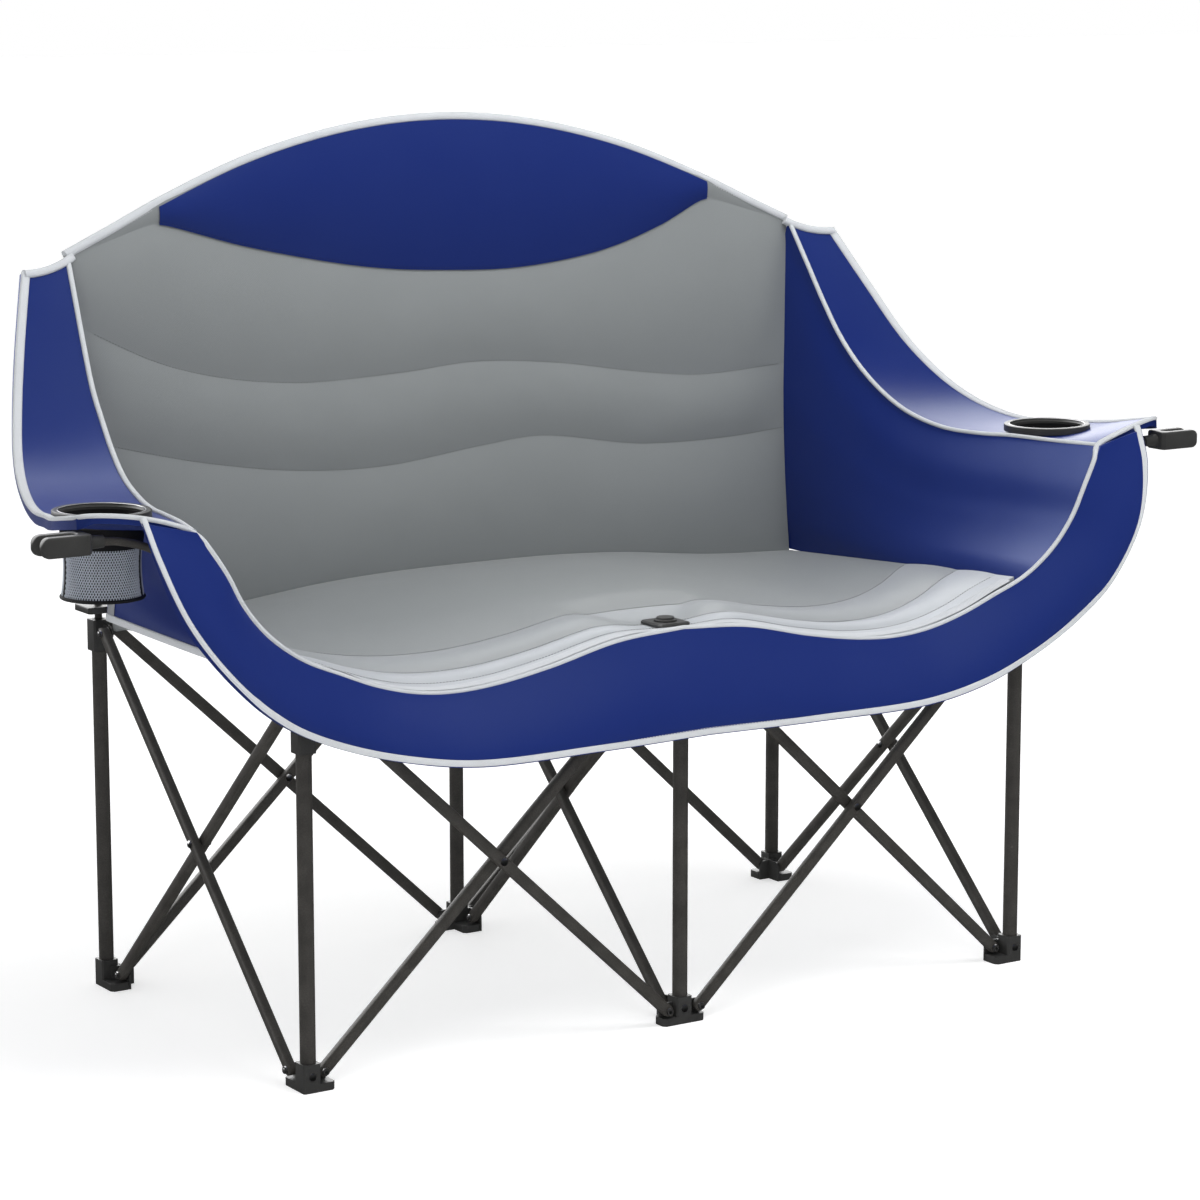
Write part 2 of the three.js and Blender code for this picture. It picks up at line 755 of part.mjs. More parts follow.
// The height of the arm's face under a place across it, near the cup
function armHeight(x) {
  return armInner[2] + Math.tan(armRoll) * (x - armInner[0]);
}
const cupSeat = armHeight(cupX) + runningGap;

// The ring stands nearly level, though the arm's face rises outwards
function atCup(geometry) {
  geometry.rotateY(-armRoll * cupTiltShare);
  geometry.translate(cupX, cupY, cupSeat);
  return geometry;
}

const armPanel = solid(quilt(armColumns, armRows, armSurface,
  (s, t) => offset(armSurface, s, t, armThickness)));
const armHole = solid(atCup(uprightPin(cupCollarRadius + runningGap, -cupDepth / 2, cupDepth / 2,
  ringSides)));
const armSeat = solid(atCup(uprightPin(cupFlangeRadius + runningGap, -cupFlangeSink - runningGap,
  cupDepth / 2, ringSides)));
const armRight = shell(armPanel.subtract(armHole).subtract(armSeat));
addNode('arm_panel_right', armRight, blueCloth);
addNode('arm_panel_left', mirrored(armRight), blueCloth);

// Side panels hang from the arm's inner edge to a straight hem over the side scissors

const fasciaTopShares = [[0, -0.19, 0.053], [0.09, -0.19, 0.042], [0.182, -0.19, 0.008],
  [0.256, -0.19, -0.012], [0.312, -0.19, -0.017], [0.361, -0.19, -0.009], [0.411, -0.19, 0.014],
  [0.461, -0.19, 0.05], [0.505, -0.19, 0.077], [0.556, -0.25, 0.119], [0.579, -0.19, 0.19],
  [0.596, -0.12, 0.252], [0.627, -0.2, 0.33]];
const fasciaBottomShares = [[0, 0.87, -0.142], [0.15, 0.94, -0.144], [0.315, 1.01, -0.14],
  [0.402, 0.96, -0.116], [0.466, 0.76, -0.087], [0.525, 0.65, -0.047], [0.565, 0.68, -0.005],
  [0.602, 0.76, 0.049], [0.639, 0.69, 0.121], [0.665, 0.55, 0.191], [0.686, 0.2, 0.291],
  [0.692, -0.18, 0.356]];

function fasciaCurve(shares) {
  const points = shares.map(([x, bulge, z]) => new THREE.Vector3(x * frameWidth,
    -frontFace - bulge * fasciaBulge, hubPivotHeight + z * softRise));
  const curve = new THREE.CatmullRomCurve3(points, false, 'centripetal');
  return (t) => curve.getPointAt(THREE.MathUtils.clamp(t, 0, 1));
}

const fasciaTop = fasciaCurve(fasciaTopShares);
const fasciaBottom = fasciaCurve(fasciaBottomShares);
const hornStartShare = 0.47;
const sideDrop = 2.5;
const sideColumns = 10;
const sideRows = 6;
const panelCurveStart = 0.7;
const hemRise = 1.5;
const hemFront = seatFrontY + blockSize;
const hemRear = frameDepth / 2 - plateSize / 2 - panelThickness;

function sideFront(t) {
  const start = new THREE.Vector3(frameWidth / 2, hemFront, hubTop + hemRise);
  const along = fasciaTop(panelCurveStart + (1 - panelCurveStart) * t);
  along.y += fasciaThickness + 2 * softGap;
  const end = sideTop(0);
  const blend = THREE.MathUtils.smoothstep(t, 0.75, 1);
  const drop = 1 - THREE.MathUtils.smoothstep(t, 0, 0.3);
  return along.lerp(start, drop).lerp(end, blend);
}

function sideTop(s) {
  const point = new THREE.Vector3(...offset(armSurface, 0, 1 - s, armThickness + sideDrop));
  point.x += panelThickness / 2 + softGap;
  return point;
}

function sideBottom(s) {
  return new THREE.Vector3(frameWidth / 2, hemFront + (hemRear - hemFront) * s, hubTop + hemRise);
}

function sideRear(t) {
  return sideBottom(1).lerp(sideTop(1), t);
}

// s runs from front to rear, t from the hem to the arm
function sideSurface(s, t) {
  const ruled = sideBottom(s).lerp(sideTop(s), t).add(sideFront(t).lerp(sideRear(t), s));
  const corners = sideBottom(0).lerp(sideTop(0), t).lerp(sideBottom(1).lerp(sideTop(1), t), s);
  return ruled.sub(corners).toArray();
}

const sideRight = quilt(sideColumns, sideRows,
  (s, t) => offset(sideSurface, s, t, -panelThickness / 2),
  (s, t) => offset(sideSurface, s, t, panelThickness / 2));
addNode('side_panel_right', sideRight, blueCloth);
addNode('side_panel_left', mirrored(sideRight), blueCloth);

// Front fascia, in one middle piece and a horn that rises to each arm

const fasciaColumns = 14;
const hornColumns = 8;
const fasciaRows = 4;

// The share along a fascia curve at which it passes a place in X
function fasciaStation(curve, x) {
  let low = 0;
  let high = 1;
  for (let i = 0; i < 30; i += 1) {
    const middle = (low + high) / 2;
    if (curve(middle).x < x) low = middle;
    else high = middle;
  }
  return low;
}

const hornTop = fasciaStation(fasciaTop, hornStartShare * frameWidth);
const hornBottom = fasciaStation(fasciaBottom, hornStartShare * frameWidth);

function fasciaPoint(top, bottom, v, depth) {
  const point = fasciaTop(top).lerp(fasciaBottom(bottom), v);
  point.y += depth - fasciaBow * 4 * v * (1 - v) * (1 - THREE.MathUtils.smoothstep(top, 0.85, 1));
  return point;
}

function middleFascia(s, v, depth) {
  const side = 2 * s - 1;
  const point = fasciaPoint(Math.abs(side) * hornTop, Math.abs(side) * hornBottom, v, depth);
  point.x *= Math.sign(side) || 0;
  return point.toArray();
}

function hornFascia(s, v, depth) {
  const top = hornTop + (1 - hornTop) * s;
  const bottom = hornBottom + (1 - hornBottom) * s;
  return fasciaPoint(top, bottom, v, depth).toArray();
}

addNode('front_fascia', quilt(2 * fasciaColumns, fasciaRows,
  (s, v) => middleFascia(s, v, 0),
  (s, v) => middleFascia(s, v, fasciaThickness)), blueCloth);
const hornWhole = quilt(hornColumns, fasciaRows,
  (s, v) => hornFascia(s, v, 0),
  (s, v) => hornFascia(s, v, fasciaThickness));
hornWhole.translate(runningGap, 0, 0);
addNode('fascia_horn_right', hornWhole, blueCloth);
addNode('fascia_horn_left', mirrored(hornWhole), blueCloth);

// Upper tubes. Each slides in its post, passes its hub, and goes on as a pole or a strut.

function sweptRod(points, steps) {
  const circle = new THREE.Shape();
  circle.absarc(0, 0, poleDiameter / 2, 0, 2 * Math.PI);
  const geometry = new THREE.ExtrudeGeometry(circle, {
    steps,
    curveSegments: rodSides / 2,
    bevelEnabled: false,
    extrudePath: new THREE.CatmullRomCurve3(points, false, 'centripetal'),
  });
  return solid(geometry);
}

function addUpperTube(name, post, straight, rodPoints, steps) {
  const slider = solid(tube(sliderDiameter / 2, sliderDiameter / 2 - sliderWall, sliderTail, hubTop));
  const plug = solid(uprightPin(sliderDiameter / 2, hubTop - sliderPlug, hubTop));
  const pieces = [slider, plug];
  if (straight > 0) {
    const bend = hubTop + straight;
    pieces.push(solid(uprightPin(poleDiameter / 2, hubTop - cutOverrun, bend, rodSides)));
    pieces.push(sweptRod([new THREE.Vector3(0, 0, bend - cutOverrun), ...rodPoints], steps));
  }
  addNode(name, shell(joined(pieces)), powderCoat, postPlace(post).toArray());
}

const poleClear = poleDiameter / 2 + runningGap;
const cornerBehind = offset(armSurface, 0.82, 0.02, armThickness + poleClear);
const poleTipShare = 0.96;
const poleTouchShare = 0.66;
const touchHeight = hubPivotHeight + poleTouchShare * softRise;
const touchSetback = backPlane(touchHeight) + padThickness + poleClear - frameDepth / 2;
const poleBend = hubTop + poleStraight;
const middleTop = hubPivotHeight + poleTipShare * softRise;
const middleTip = new THREE.Vector3(0,
  touchSetback * (middleTop - poleBend) / (touchHeight - poleBend), middleTop);
addUpperTube('pole_rear_middle', 'rear_middle', poleStraight, [middleTip], 1);
for (const side of [-1, 1]) {
  const label = side < 0 ? 'left' : 'right';
  const tip = new THREE.Vector3(side * (cornerBehind[0] - frameWidth / 2),
    cornerBehind[1] - frameDepth / 2, cornerBehind[2]);
  addUpperTube(`pole_rear_${label}`, `rear_${label}`, poleStraight, [tip], 1);
}

addUpperTube('stub_front_middle', 'front_middle', 0, [], 0);

// The strut leaves the front hub outwards behind the fascia's horn and ends under the front
// outer corner of the arm. Its route is given as shares of frame width, of the fascia's bulge
// behind the post row, and of the soft rise.
const strutShares = [[0.515, 0.05, 0.037], [0.545, 0.13, 0.062], [0.575, 0.17, 0.107],
  [0.605, 0.2, 0.178], [0.635, 0.26, 0.254], [0.668, 0.38, 0.3], [0.705, 0.48, 0.319]];
const clipY = 0.5 * fasciaBulge;
const strutEndShare = 0.738;
const strutEndDrop = 0.322;
const strutPoints = [...strutShares, [strutEndShare, clipY / fasciaBulge, strutEndDrop]].map(
  ([x, back, z]) => new THREE.Vector3(x * frameWidth - frameWidth / 2, back * fasciaBulge,
    hubPivotHeight + z * softRise));
for (const side of [-1, 1]) {
  const label = side < 0 ? 'left' : 'right';
  const points = strutPoints.map((point) => new THREE.Vector3(side * point.x, point.y, point.z));
  addUpperTube(`arm_strut_${label}`, `front_${label}`, strutStraight, points, 10);
}

// Glass clips, a fork on each strut's end that opens outwards

function prongShape() {
  const shape = new THREE.Shape();
  const half = clipHeight / 2;
  shape.moveTo(0, -half);
  shape.lineTo(clipLength - half, -half);
  shape.absarc(clipLength - half, 0, half, -Math.PI / 2, Math.PI / 2);
  shape.lineTo(0, half);
  return shape;
}

const clipHalf = clipSlot / 2 + clipProng;
const clip = joined([
  solid(uprightPlate(prongShape(), -clipHalf, -clipSlot / 2)),
  solid(uprightPlate(prongShape(), clipSlot / 2, clipHalf)),
  solid(box([0, -clipHalf, -clipHeight / 2], [clipRoot, clipHalf, clipHeight / 2])),
]);
const clipRight = shell(clip);
clipRight.translate(strutEndShare * frameWidth + 2 * runningGap, clipY - frameDepth / 2,
  hubPivotHeight + strutEndDrop * softRise);
addNode('glass_clip_right', clipRight, blackPlastic);
addNode('glass_clip_left', mirrored(clipRight), blackPlastic);

// Cup holders: a ring let into the arm and a tapered cup that hangs in it

const mouthRadius = cupMouthDiameter / 2;
const ringRight = atCup(turned([
  [mouthRadius, -cupCollarDepth],
  [cupCollarRadius, -cupCollarDepth],
  [cupCollarRadius, -cupFlangeSink],
  [cupFlangeRadius, -cupFlangeSink],
  [cupFlangeRadius, cupFlangeHeight / 2],
  [cupFlangeRadius - cupFlangeHeight / 2, cupFlangeHeight],
  [mouthRadius, cupFlangeHeight],
]));
addNode('cup_ring_right', ringRight, blackPlastic);
addNode('cup_ring_left', mirrored(ringRight), blackPlastic);

const cupRadius = mouthRadius - runningGap;
const cupWaistShare = 0.55;
function cupOutline() {
  const outer = [[cupBaseDiameter / 2, -cupDepth],
    [cupWaistDiameter / 2, -cupDepth * cupWaistShare], [cupRadius, -cupCollarDepth], [cupRadius, 0]];
  const inner = outer.map(([r, z]) => [r - cupWall, z]).reverse();
  inner[inner.length - 1][1] += cupWall;
  const axis = [[0, -cupDepth + cupWall], [0, -cupDepth]];
  return [...outer, ...inner, ...axis];
}
const cupRight = atCup(turned(cupOutline()));
addNode('mesh_cup_right', cupRight, meshCloth);
addNode('mesh_cup_left', mirrored(cupRight), meshCloth);

// The origin is on the floor under the middle of the whole object
loveseat.updateMatrixWorld(true);
const bounds = new THREE.Box3().setFromObject(loveseat, true);
const middle = bounds.getCenter(new THREE.Vector3());
loveseat.position.set(-middle.x, -middle.y, 0);

export default loveseat;
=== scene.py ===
# Folding camping loveseat: the sewn goods, the fittings and the finish of the frame, dressed on
# the CAD frame and lit like a white studio. Metres, Z up, the front faces -Y.
import json
import math
import bpy
import bmesh
import numpy as np
from mathutils import Matrix, Vector
from mathutils.bvhtree import BVHTree


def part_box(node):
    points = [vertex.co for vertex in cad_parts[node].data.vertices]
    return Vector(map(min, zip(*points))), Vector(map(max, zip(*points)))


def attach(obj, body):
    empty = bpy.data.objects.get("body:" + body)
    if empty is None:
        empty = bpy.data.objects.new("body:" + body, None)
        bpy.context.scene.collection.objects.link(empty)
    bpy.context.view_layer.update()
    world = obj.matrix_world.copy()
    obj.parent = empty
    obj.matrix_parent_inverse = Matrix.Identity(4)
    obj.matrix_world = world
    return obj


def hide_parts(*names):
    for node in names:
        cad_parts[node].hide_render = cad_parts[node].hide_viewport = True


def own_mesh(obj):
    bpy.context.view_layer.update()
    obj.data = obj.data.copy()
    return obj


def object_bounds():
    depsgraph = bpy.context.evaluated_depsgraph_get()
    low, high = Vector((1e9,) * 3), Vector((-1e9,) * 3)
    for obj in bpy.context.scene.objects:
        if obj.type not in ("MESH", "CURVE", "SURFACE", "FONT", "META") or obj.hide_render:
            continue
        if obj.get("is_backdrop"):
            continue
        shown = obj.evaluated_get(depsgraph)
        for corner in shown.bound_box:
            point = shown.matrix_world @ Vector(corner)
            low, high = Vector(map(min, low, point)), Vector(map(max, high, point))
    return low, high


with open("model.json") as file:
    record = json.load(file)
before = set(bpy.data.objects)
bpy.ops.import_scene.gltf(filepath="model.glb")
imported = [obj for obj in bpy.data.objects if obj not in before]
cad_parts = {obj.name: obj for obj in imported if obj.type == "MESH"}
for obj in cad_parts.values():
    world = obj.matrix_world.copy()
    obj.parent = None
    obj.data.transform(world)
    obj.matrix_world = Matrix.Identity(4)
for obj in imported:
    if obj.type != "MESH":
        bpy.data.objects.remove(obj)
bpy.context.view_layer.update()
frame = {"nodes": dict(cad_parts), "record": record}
nodes = frame["nodes"]

# The posts stand in two rows of three, and everything below is laid out from them. Where the rows
# lie along Y is read from the front middle post.
depth = 0.5147
hub_pivot = 0.4436
row_low, row_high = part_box("post_front_middle")
shift = (row_low.y + row_high.y) / 2 + depth / 2
posts = {
    "front_left": (-0.5, -depth / 2), "front_middle": (0.0, -depth / 2),
    "front_right": (0.5, -depth / 2), "rear_left": (-0.5, depth / 2),
    "rear_middle": (0.0, depth / 2), "rear_right": (0.5, depth / 2),
}


# Cloth finishes. The grey and the blue are woven polyester, the blue with a satin coating. Their
# threads run along each piece's own weave coordinates, in metres.
def socket(tree, name, kind, side, value=None):
    made = tree.interface.new_socket(name, in_out=side, socket_type="NodeSocket" + kind)
    if value is not None:
        made.default_value = value
    return made


def wired(tree, kind, inputs, **settings):
    node = tree.nodes.new(kind)
    for key, value in settings.items():
        setattr(node, key, value)
    for place, value in inputs.items():
        if isinstance(value, bpy.types.NodeSocket):
            tree.links.new(value, node.inputs[place])
        elif value is not None:
            node.inputs[place].default_value = value
    return node


def wire(tree, kind, *inputs, **settings):
    return wired(tree, kind, dict(enumerate(inputs)), **settings)


def maths(tree):
    return lambda operation, *inputs: wire(tree, "ShaderNodeMath", *inputs, operation=operation).outputs[0]


# Places 0, 6 and 7 of the mix node are its factor and its two colours, output 2 is the mixed colour
def tint(tree, factor, first, second):
    return wired(tree, "ShaderNodeMix", {0: factor, 6: first, 7: second}, data_type="RGBA").outputs[2]


def noise(tree, vector, scale, detail=3.0, rough=0.55):
    return wired(tree, "ShaderNodeTexNoise", {
        "Vector": vector, "Scale": scale, "Detail": detail, "Roughness": rough}).outputs["Fac"]


# An effect gives a colour, a roughness and a height, which material() sends to the surface
def effect(name, *inputs):
    tree = bpy.data.node_groups.new(name, "ShaderNodeTree")
    for label, kind, value in inputs:
        socket(tree, label, kind, "INPUT", value)
    for label, kind in (("Colour", "Color"), ("Roughness", "Float"), ("Height", "Float")):
        socket(tree, label, kind, "OUTPUT")
    return tree, tree.nodes.new("NodeGroupInput").outputs, maths(tree)


def material(name, group, values, bump, distance, shader):
    made = bpy.data.materials.new(name)
    made.use_nodes = True
    tree = made.node_tree
    surface = tree.nodes["Principled BSDF"].inputs
    place = tree.nodes.new("ShaderNodeTexCoord").outputs
    look = wired(tree, "ShaderNodeGroup", {"Place": place["Object"], **values}, node_tree=group)
    if "Weave" in look.inputs:
        tree.links.new(place["UV"], look.inputs["Weave"])
    # How much painted highlight a surface gets is read from its point attribute
    if "Painted highlight" in look.inputs:
        faded = wire(tree, "ShaderNodeAttribute", attribute_name="painted_highlight")
        tree.links.new(faded.outputs["Fac"], look.inputs["Painted highlight"])
    relief = wired(tree, "ShaderNodeBump", {
        "Strength": bump, "Distance": distance, "Height": look.outputs["Height"]})
    tree.links.new(look.outputs["Colour"], surface["Base Color"])
    tree.links.new(look.outputs["Roughness"], surface["Roughness"])
    tree.links.new(relief.outputs["Normal"], surface["Normal"])
    for key, value in shader.items():
        surface[key].default_value = value
    return made


weave, into, calc = effect(
    "woven_cloth",
    ("Weave", "Vector", None), ("Place", "Vector", None), ("Threads per metre", "Float", 900.0),
    ("Colour", "Color", (0.3, 0.3, 0.3, 1)), ("Worn colour", "Color", (0.3, 0.3, 0.3, 1)),
    ("Roughness", "Float", 0.6), ("Painted highlight", "Float", 0.0), ("Painted highlight colour", "Color", (0.5, 0.5, 0.5, 1)))
axes = wire(weave, "ShaderNodeSeparateXYZ", into["Weave"]).outputs
warp, weft = (calc("SINE", calc("MULTIPLY", calc("MULTIPLY", axis, into["Threads per metre"]), math.pi))
              for axis in axes[:2])
over = calc("GREATER_THAN", calc("MULTIPLY", warp, weft), 0.0)
thread = calc("ADD", calc("MULTIPLY", calc("ABSOLUTE", warp), over),
              calc("MULTIPLY", calc("ABSOLUTE", weft), calc("SUBTRACT", 1.0, over)))
patchy = noise(weave, into["Place"], 9.0, 4.0)
fuzz = noise(weave, into["Place"], 420.0, 2.0)
shade = calc("MULTIPLY_ADD", thread, 0.10, calc("MULTIPLY_ADD", patchy, 0.35, 0.2))
woven = tint(weave, shade, into["Colour"], into["Worn colour"])
# The woven colour is then blended towards a pale colour as far as that attribute says: a painted highlight,
# standing in for the bright room's reflection
wire(weave, "NodeGroupOutput", tint(weave, into["Painted highlight"], woven, into["Painted highlight colour"]),
     calc("MULTIPLY_ADD", patchy, 0.12, calc("SUBTRACT", into["Roughness"], 0.06)),
     calc("MULTIPLY_ADD", fuzz, 0.35, thread))
# The grey cloth's painted highlight colour is a cool pale grey
grey_cloth = material("grey_cloth", weave, {
    "Threads per metre": 800.0, "Colour": (0.185, 0.2, 0.205, 1), "Worn colour": (0.235, 0.25, 0.255, 1),
    "Roughness": 0.44, "Painted highlight colour": (0.46, 0.485, 0.52, 1)}, 0.25, 0.0003,
    {"Sheen Weight": 0.2, "Sheen Roughness": 0.4, "Specular IOR Level": 0.8})
blue_cloth = material("blue_cloth", weave, {
    "Threads per metre": 900.0, "Colour": (0.006, 0.0165, 0.125, 1),
    "Worn colour": (0.009, 0.023, 0.155, 1), "Roughness": 0.38}, 0.16, 0.0002,
    {"Specular IOR Level": 0.5, "Specular Tint": (0.6, 0.75, 1.0, 1)})
black_cloth = material("black_cloth", weave, {
    "Threads per metre": 700.0, "Colour": (0.007, 0.007, 0.008, 1),
    "Worn colour": (0.014, 0.014, 0.015, 1), "Roughness": 0.75}, 0.5, 0.0004,
    {"Specular IOR Level": 0.3})

# The edge tape is a white twill: its ribs run slantwise along it. The piping is the same tape
# round a cord.
twill, into, calc = effect(
    "twill_tape",
    ("Weave", "Vector", None), ("Place", "Vector", None), ("Ribs per metre", "Float", 520.0),
    ("Colour", "Color", (0.7, 0.72, 0.74, 1)), ("Valley colour", "Color", (0.5, 0.52, 0.55, 1)),
    ("Roughness", "Float", 0.75))
axes = wire(twill, "ShaderNodeSeparateXYZ", into["Weave"]).outputs
slant = calc("MULTIPLY", calc("MULTIPLY_ADD", axes[1], 1.4, axes[0]),
             calc("MULTIPLY", into["Ribs per metre"], 2 * math.pi))
rib = calc("MULTIPLY_ADD", calc("SINE", slant), 0.5, 0.5)
soiled = noise(twill, into["Place"], 14.0, 4.0)
valley = calc("MULTIPLY", calc("MULTIPLY_ADD", soiled, 0.5, 0.5), calc("SUBTRACT", 1.0, rib))
wire(twill, "NodeGroupOutput", tint(twill, valley, into["Colour"], into["Valley colour"]),
     calc("MULTIPLY_ADD", soiled, 0.1, into["Roughness"]),
     calc("MULTIPLY_ADD", noise(twill, into["Place"], 600.0, 2.0), 0.3, rib))
white_tape = material("white_tape", twill, {
    "Colour": (0.62, 0.64, 0.66, 1), "Valley colour": (0.40, 0.42, 0.45, 1)}, 0.45, 0.0005,
    {"Sheen Weight": 0.15})
grey_tape = material("grey_tape", twill, {
    "Colour": (0.30, 0.31, 0.33, 1), "Valley colour": (0.20, 0.21, 0.23, 1)}, 0.4, 0.0005, {})
black_tape = material("black_tape", twill, {
    "Colour": (0.016, 0.016, 0.017, 1), "Valley colour": (0.008, 0.008, 0.009, 1)}, 0.5, 0.0005, {})

# The frame's textured powder coat is a warm black with small light specks and fine orange peel.
# The moulded fittings are a satin black plastic, and the rivets are bright steel.
coat, into, calc = effect(
    "powder_coat",
    ("Place", "Vector", None), ("Colour", "Color", (0.04, 0.04, 0.04, 1)),
    ("Speck colour", "Color", (0.1, 0.1, 0.1, 1)), ("Speck scale", "Float", 900.0),
    ("Roughness", "Float", 0.45))
specks = noise(coat, into["Place"], into["Speck scale"], 3.0, 0.5)
cloudy = noise(coat, into["Place"], 45.0, 4.0)
scuffs = noise(coat, into["Place"], 12.0, 6.0, 0.7)
mottle = calc("MULTIPLY", specks, calc("MULTIPLY_ADD", cloudy, 0.9, 0.15))
worn = calc("MULTIPLY", calc("GREATER_THAN", scuffs, 0.67), 0.25)
wire(coat, "NodeGroupOutput", tint(coat, calc("ADD", mottle, worn), into["Colour"], into["Speck colour"]),
     calc("MULTIPLY_ADD", cloudy, 0.15, calc("SUBTRACT", into["Roughness"], 0.05)), specks)
powder_coat = material("powder_coat", coat, {
    "Colour": (0.019, 0.018, 0.0165, 1), "Speck colour": (0.115, 0.107, 0.096, 1),
    "Speck scale": 700.0, "Roughness": 0.42}, 0.35, 0.0004, {"Specular IOR Level": 0.5})
black_plastic = material("black_plastic", coat, {
    "Colour": (0.026, 0.026, 0.0255, 1), "Speck colour": (0.065, 0.065, 0.063, 1),
    "Speck scale": 1500.0, "Roughness": 0.38}, 0.2, 0.0002, {"Specular IOR Level": 0.5})
steel = material("rivet_steel", coat, {
    "Colour": (0.62, 0.62, 0.63, 1), "Speck colour": (0.8, 0.8, 0.8, 1),
    "Speck scale": 500.0, "Roughness": 0.3}, 0.05, 0.0001, {"Metallic": 1.0})


# Telescoping posts: six round steel tubes with a black powder coat. Each stands in its foot's
# socket, and its open top takes the sliding tube that comes down from the hub.
def new_object(name, data):
    made = bpy.data.objects.new(name, data)
    bpy.context.scene.collection.objects.link(made)
    return made


def add_piece(name, mesh, finish, body, stands_for=()):
    made = new_object(name, mesh)
    made.data.materials.clear()
    made.data.materials.append(finish)
    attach(made, body)
    if stands_for:
        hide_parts(*([stands_for] if isinstance(stands_for, str) else stands_for))
    return made


def smoothed(mesh, sharp):
    mesh.shade_smooth()
    mesh.set_sharp_from_angle(angle=math.radians(sharp))
    return mesh


def mesh_of(name, points, faces, uv=None, sharp=35):
    mesh = bpy.data.meshes.new(name)
    mesh.from_pydata([tuple(p) for p in np.asarray(points)], [], faces)
    mesh.validate()
    if uv is not None:
        layer = mesh.uv_layers.new(name="weave")
        corner = np.empty(len(mesh.loops), np.int32)
        mesh.loops.foreach_get("vertex_index", corner)
        layer.data.foreach_set("uv", np.asarray(uv, np.float32)[corner].ravel())
    edit = bmesh.new()
    edit.from_mesh(mesh)
    if edit.calc_volume(signed=True) < 0:
        bmesh.ops.reverse_faces(edit, faces=edit.faces)
    edit.to_mesh(mesh)
    edit.free()
    return smoothed(mesh, sharp)


def unit(vectors):
    return vectors / np.maximum(np.linalg.norm(vectors, axis=-1, keepdims=True), 1e-12)


def run_along(line):
    return np.r_[0, np.cumsum(np.linalg.norm(np.diff(line, axis=0), axis=1))]


# A bar, tape or cord of one section swept along a line. across is the direction of its width.
def swept(name, line, across, width, height, sides=12, power=2.0, sharp=35):
    line = np.asarray(line, float)
    along = unit(np.gradient(line, axis=0))
    across = np.broadcast_to(np.asarray(across, float), line.shape)
    across = unit(across - (across * along).sum(1, keepdims=True) * along)
    up = np.cross(along, across)
    angle = np.linspace(0, 2 * np.pi, sides, endpoint=False) + np.pi / sides
    wide = np.sign(np.cos(angle)) * abs(np.cos(angle)) ** (2 / power)
    high = np.sign(np.sin(angle)) * abs(np.sin(angle)) ** (2 / power)
    width = np.broadcast_to(np.asarray(width, float), len(line))[:, None, None]
    height = np.broadcast_to(np.asarray(height, float), len(line))[:, None, None]
    rings = line[:, None] + across[:, None] * wide[None, :, None] * width / 2 \
        + up[:, None] * high[None, :, None] * height / 2
    count = len(line)
    ring = np.arange(sides)
    faces = []
    for k in range(count - 1):
        a, b = k * sides, (k + 1) * sides
        faces += [(a + i, a + (i + 1) % sides, b + (i + 1) % sides, b + i) for i in ring]
    faces += [tuple(ring[::-1]), tuple(ring + (count - 1) * sides)]
    run = run_along(line)
    girth = (float(width.mean()) + float(height.mean())) * 2
    uv = np.stack(np.broadcast_arrays(run[:, None], ring[None] * girth / sides), -1).reshape(-1, 2)
    return mesh_of(name, rings.reshape(-1, 3), faces, uv, sharp)


# A round piece turned about an upright axis from its half profile of radius and height
def lathed(name, profile, centre, sides=48, turn=None, sharp=30, closed=True):
    angle = np.linspace(0, 2 * np.pi, sides, endpoint=False)
    circle = np.stack([np.cos(angle), np.sin(angle)], -1)
    points, faces, uv = [], [], []
    for r, z in profile:
        points += [(c[0] * r, c[1] * r, z) for c in circle]
        uv += [(a * max(r, 0.001), z) for a in angle]
    rows = len(profile)
    for k in range(rows if closed else rows - 1):
        a, b = k * sides, ((k + 1) % rows) * sides
        faces += [(a + i, a + (i + 1) % sides, b + (i + 1) % sides, b + i) for i in range(sides)]
    if not closed:
        faces += [tuple(range(sides))[::-1], tuple(range((rows - 1) * sides, rows * sides))]
    points = np.array(points)
    if turn is not None:
        points = points @ np.array(turn).T
    return mesh_of(name, points + np.asarray(centre), faces, uv, sharp)


tube_inner, tube_outer, tube_bottom, lip = 0.0075, 0.009, 0.0033, 0.0006
front_skirt, rear_skirt, fit_gap = 0.0576, 0.0256, 0.0003
for name, (x, y) in posts.items():
    top = hub_pivot - (front_skirt if y < 0 else rear_skirt) - fit_gap
    section = [(tube_inner, tube_bottom), (tube_outer, tube_bottom), (tube_outer, top - lip),
               (tube_outer - lip, top), (tube_inner, top)]
    add_piece("tube_" + name, lathed("tube_" + name, section, (x, y + shift, 0), 40), powder_coat,
              "base_" + name, "post_" + name)

# Scissor bars: flat-oval tube, pressed round at both ends, two to a pair with a rivet where they
# cross. The outer bar of a pair lies on the side away from the seat's middle.
foot_pivot = 0.0186
scissors = {
    "front_left": ("front_middle", "front_left", (0, -1)),
    "front_right": ("front_middle", "front_right", (0, -1)),
    "rear_left": ("rear_middle", "rear_left", (0, 1)),
    "rear_right": ("rear_middle", "rear_right", (0, 1)),
    "side_left": ("front_left", "rear_left", (-1, 0)),
    "side_right": ("front_right", "rear_right", (1, 0)),
    "middle": ("front_middle", "rear_middle", (-1, 0)),
}
reach_in_row, reach_between_rows = 0.0225, 0.02985
bar_length = math.hypot(0.455, hub_pivot - foot_pivot)
bar_half, bar_width, bar_offset, end_half = 0.007, 0.0116, 0.0062, 0.0005
rivet_out, rivet_in, block_out = 0.0125, 0.0001, 0.011
pin_spots, with_block = {}, set()


def pivot(start, end, height):
    heading = unit(np.array(posts[end]) - np.array(posts[start]))
    far = reach_in_row if abs(heading[0]) > abs(heading[1]) else reach_between_rows
    spot = np.array(posts[start]) + heading * far
    return np.array([spot[0], spot[1] + shift, height])


def pin_spot(body, spot, facing):
    pin_spots.setdefault(body, []).append((spot, facing))


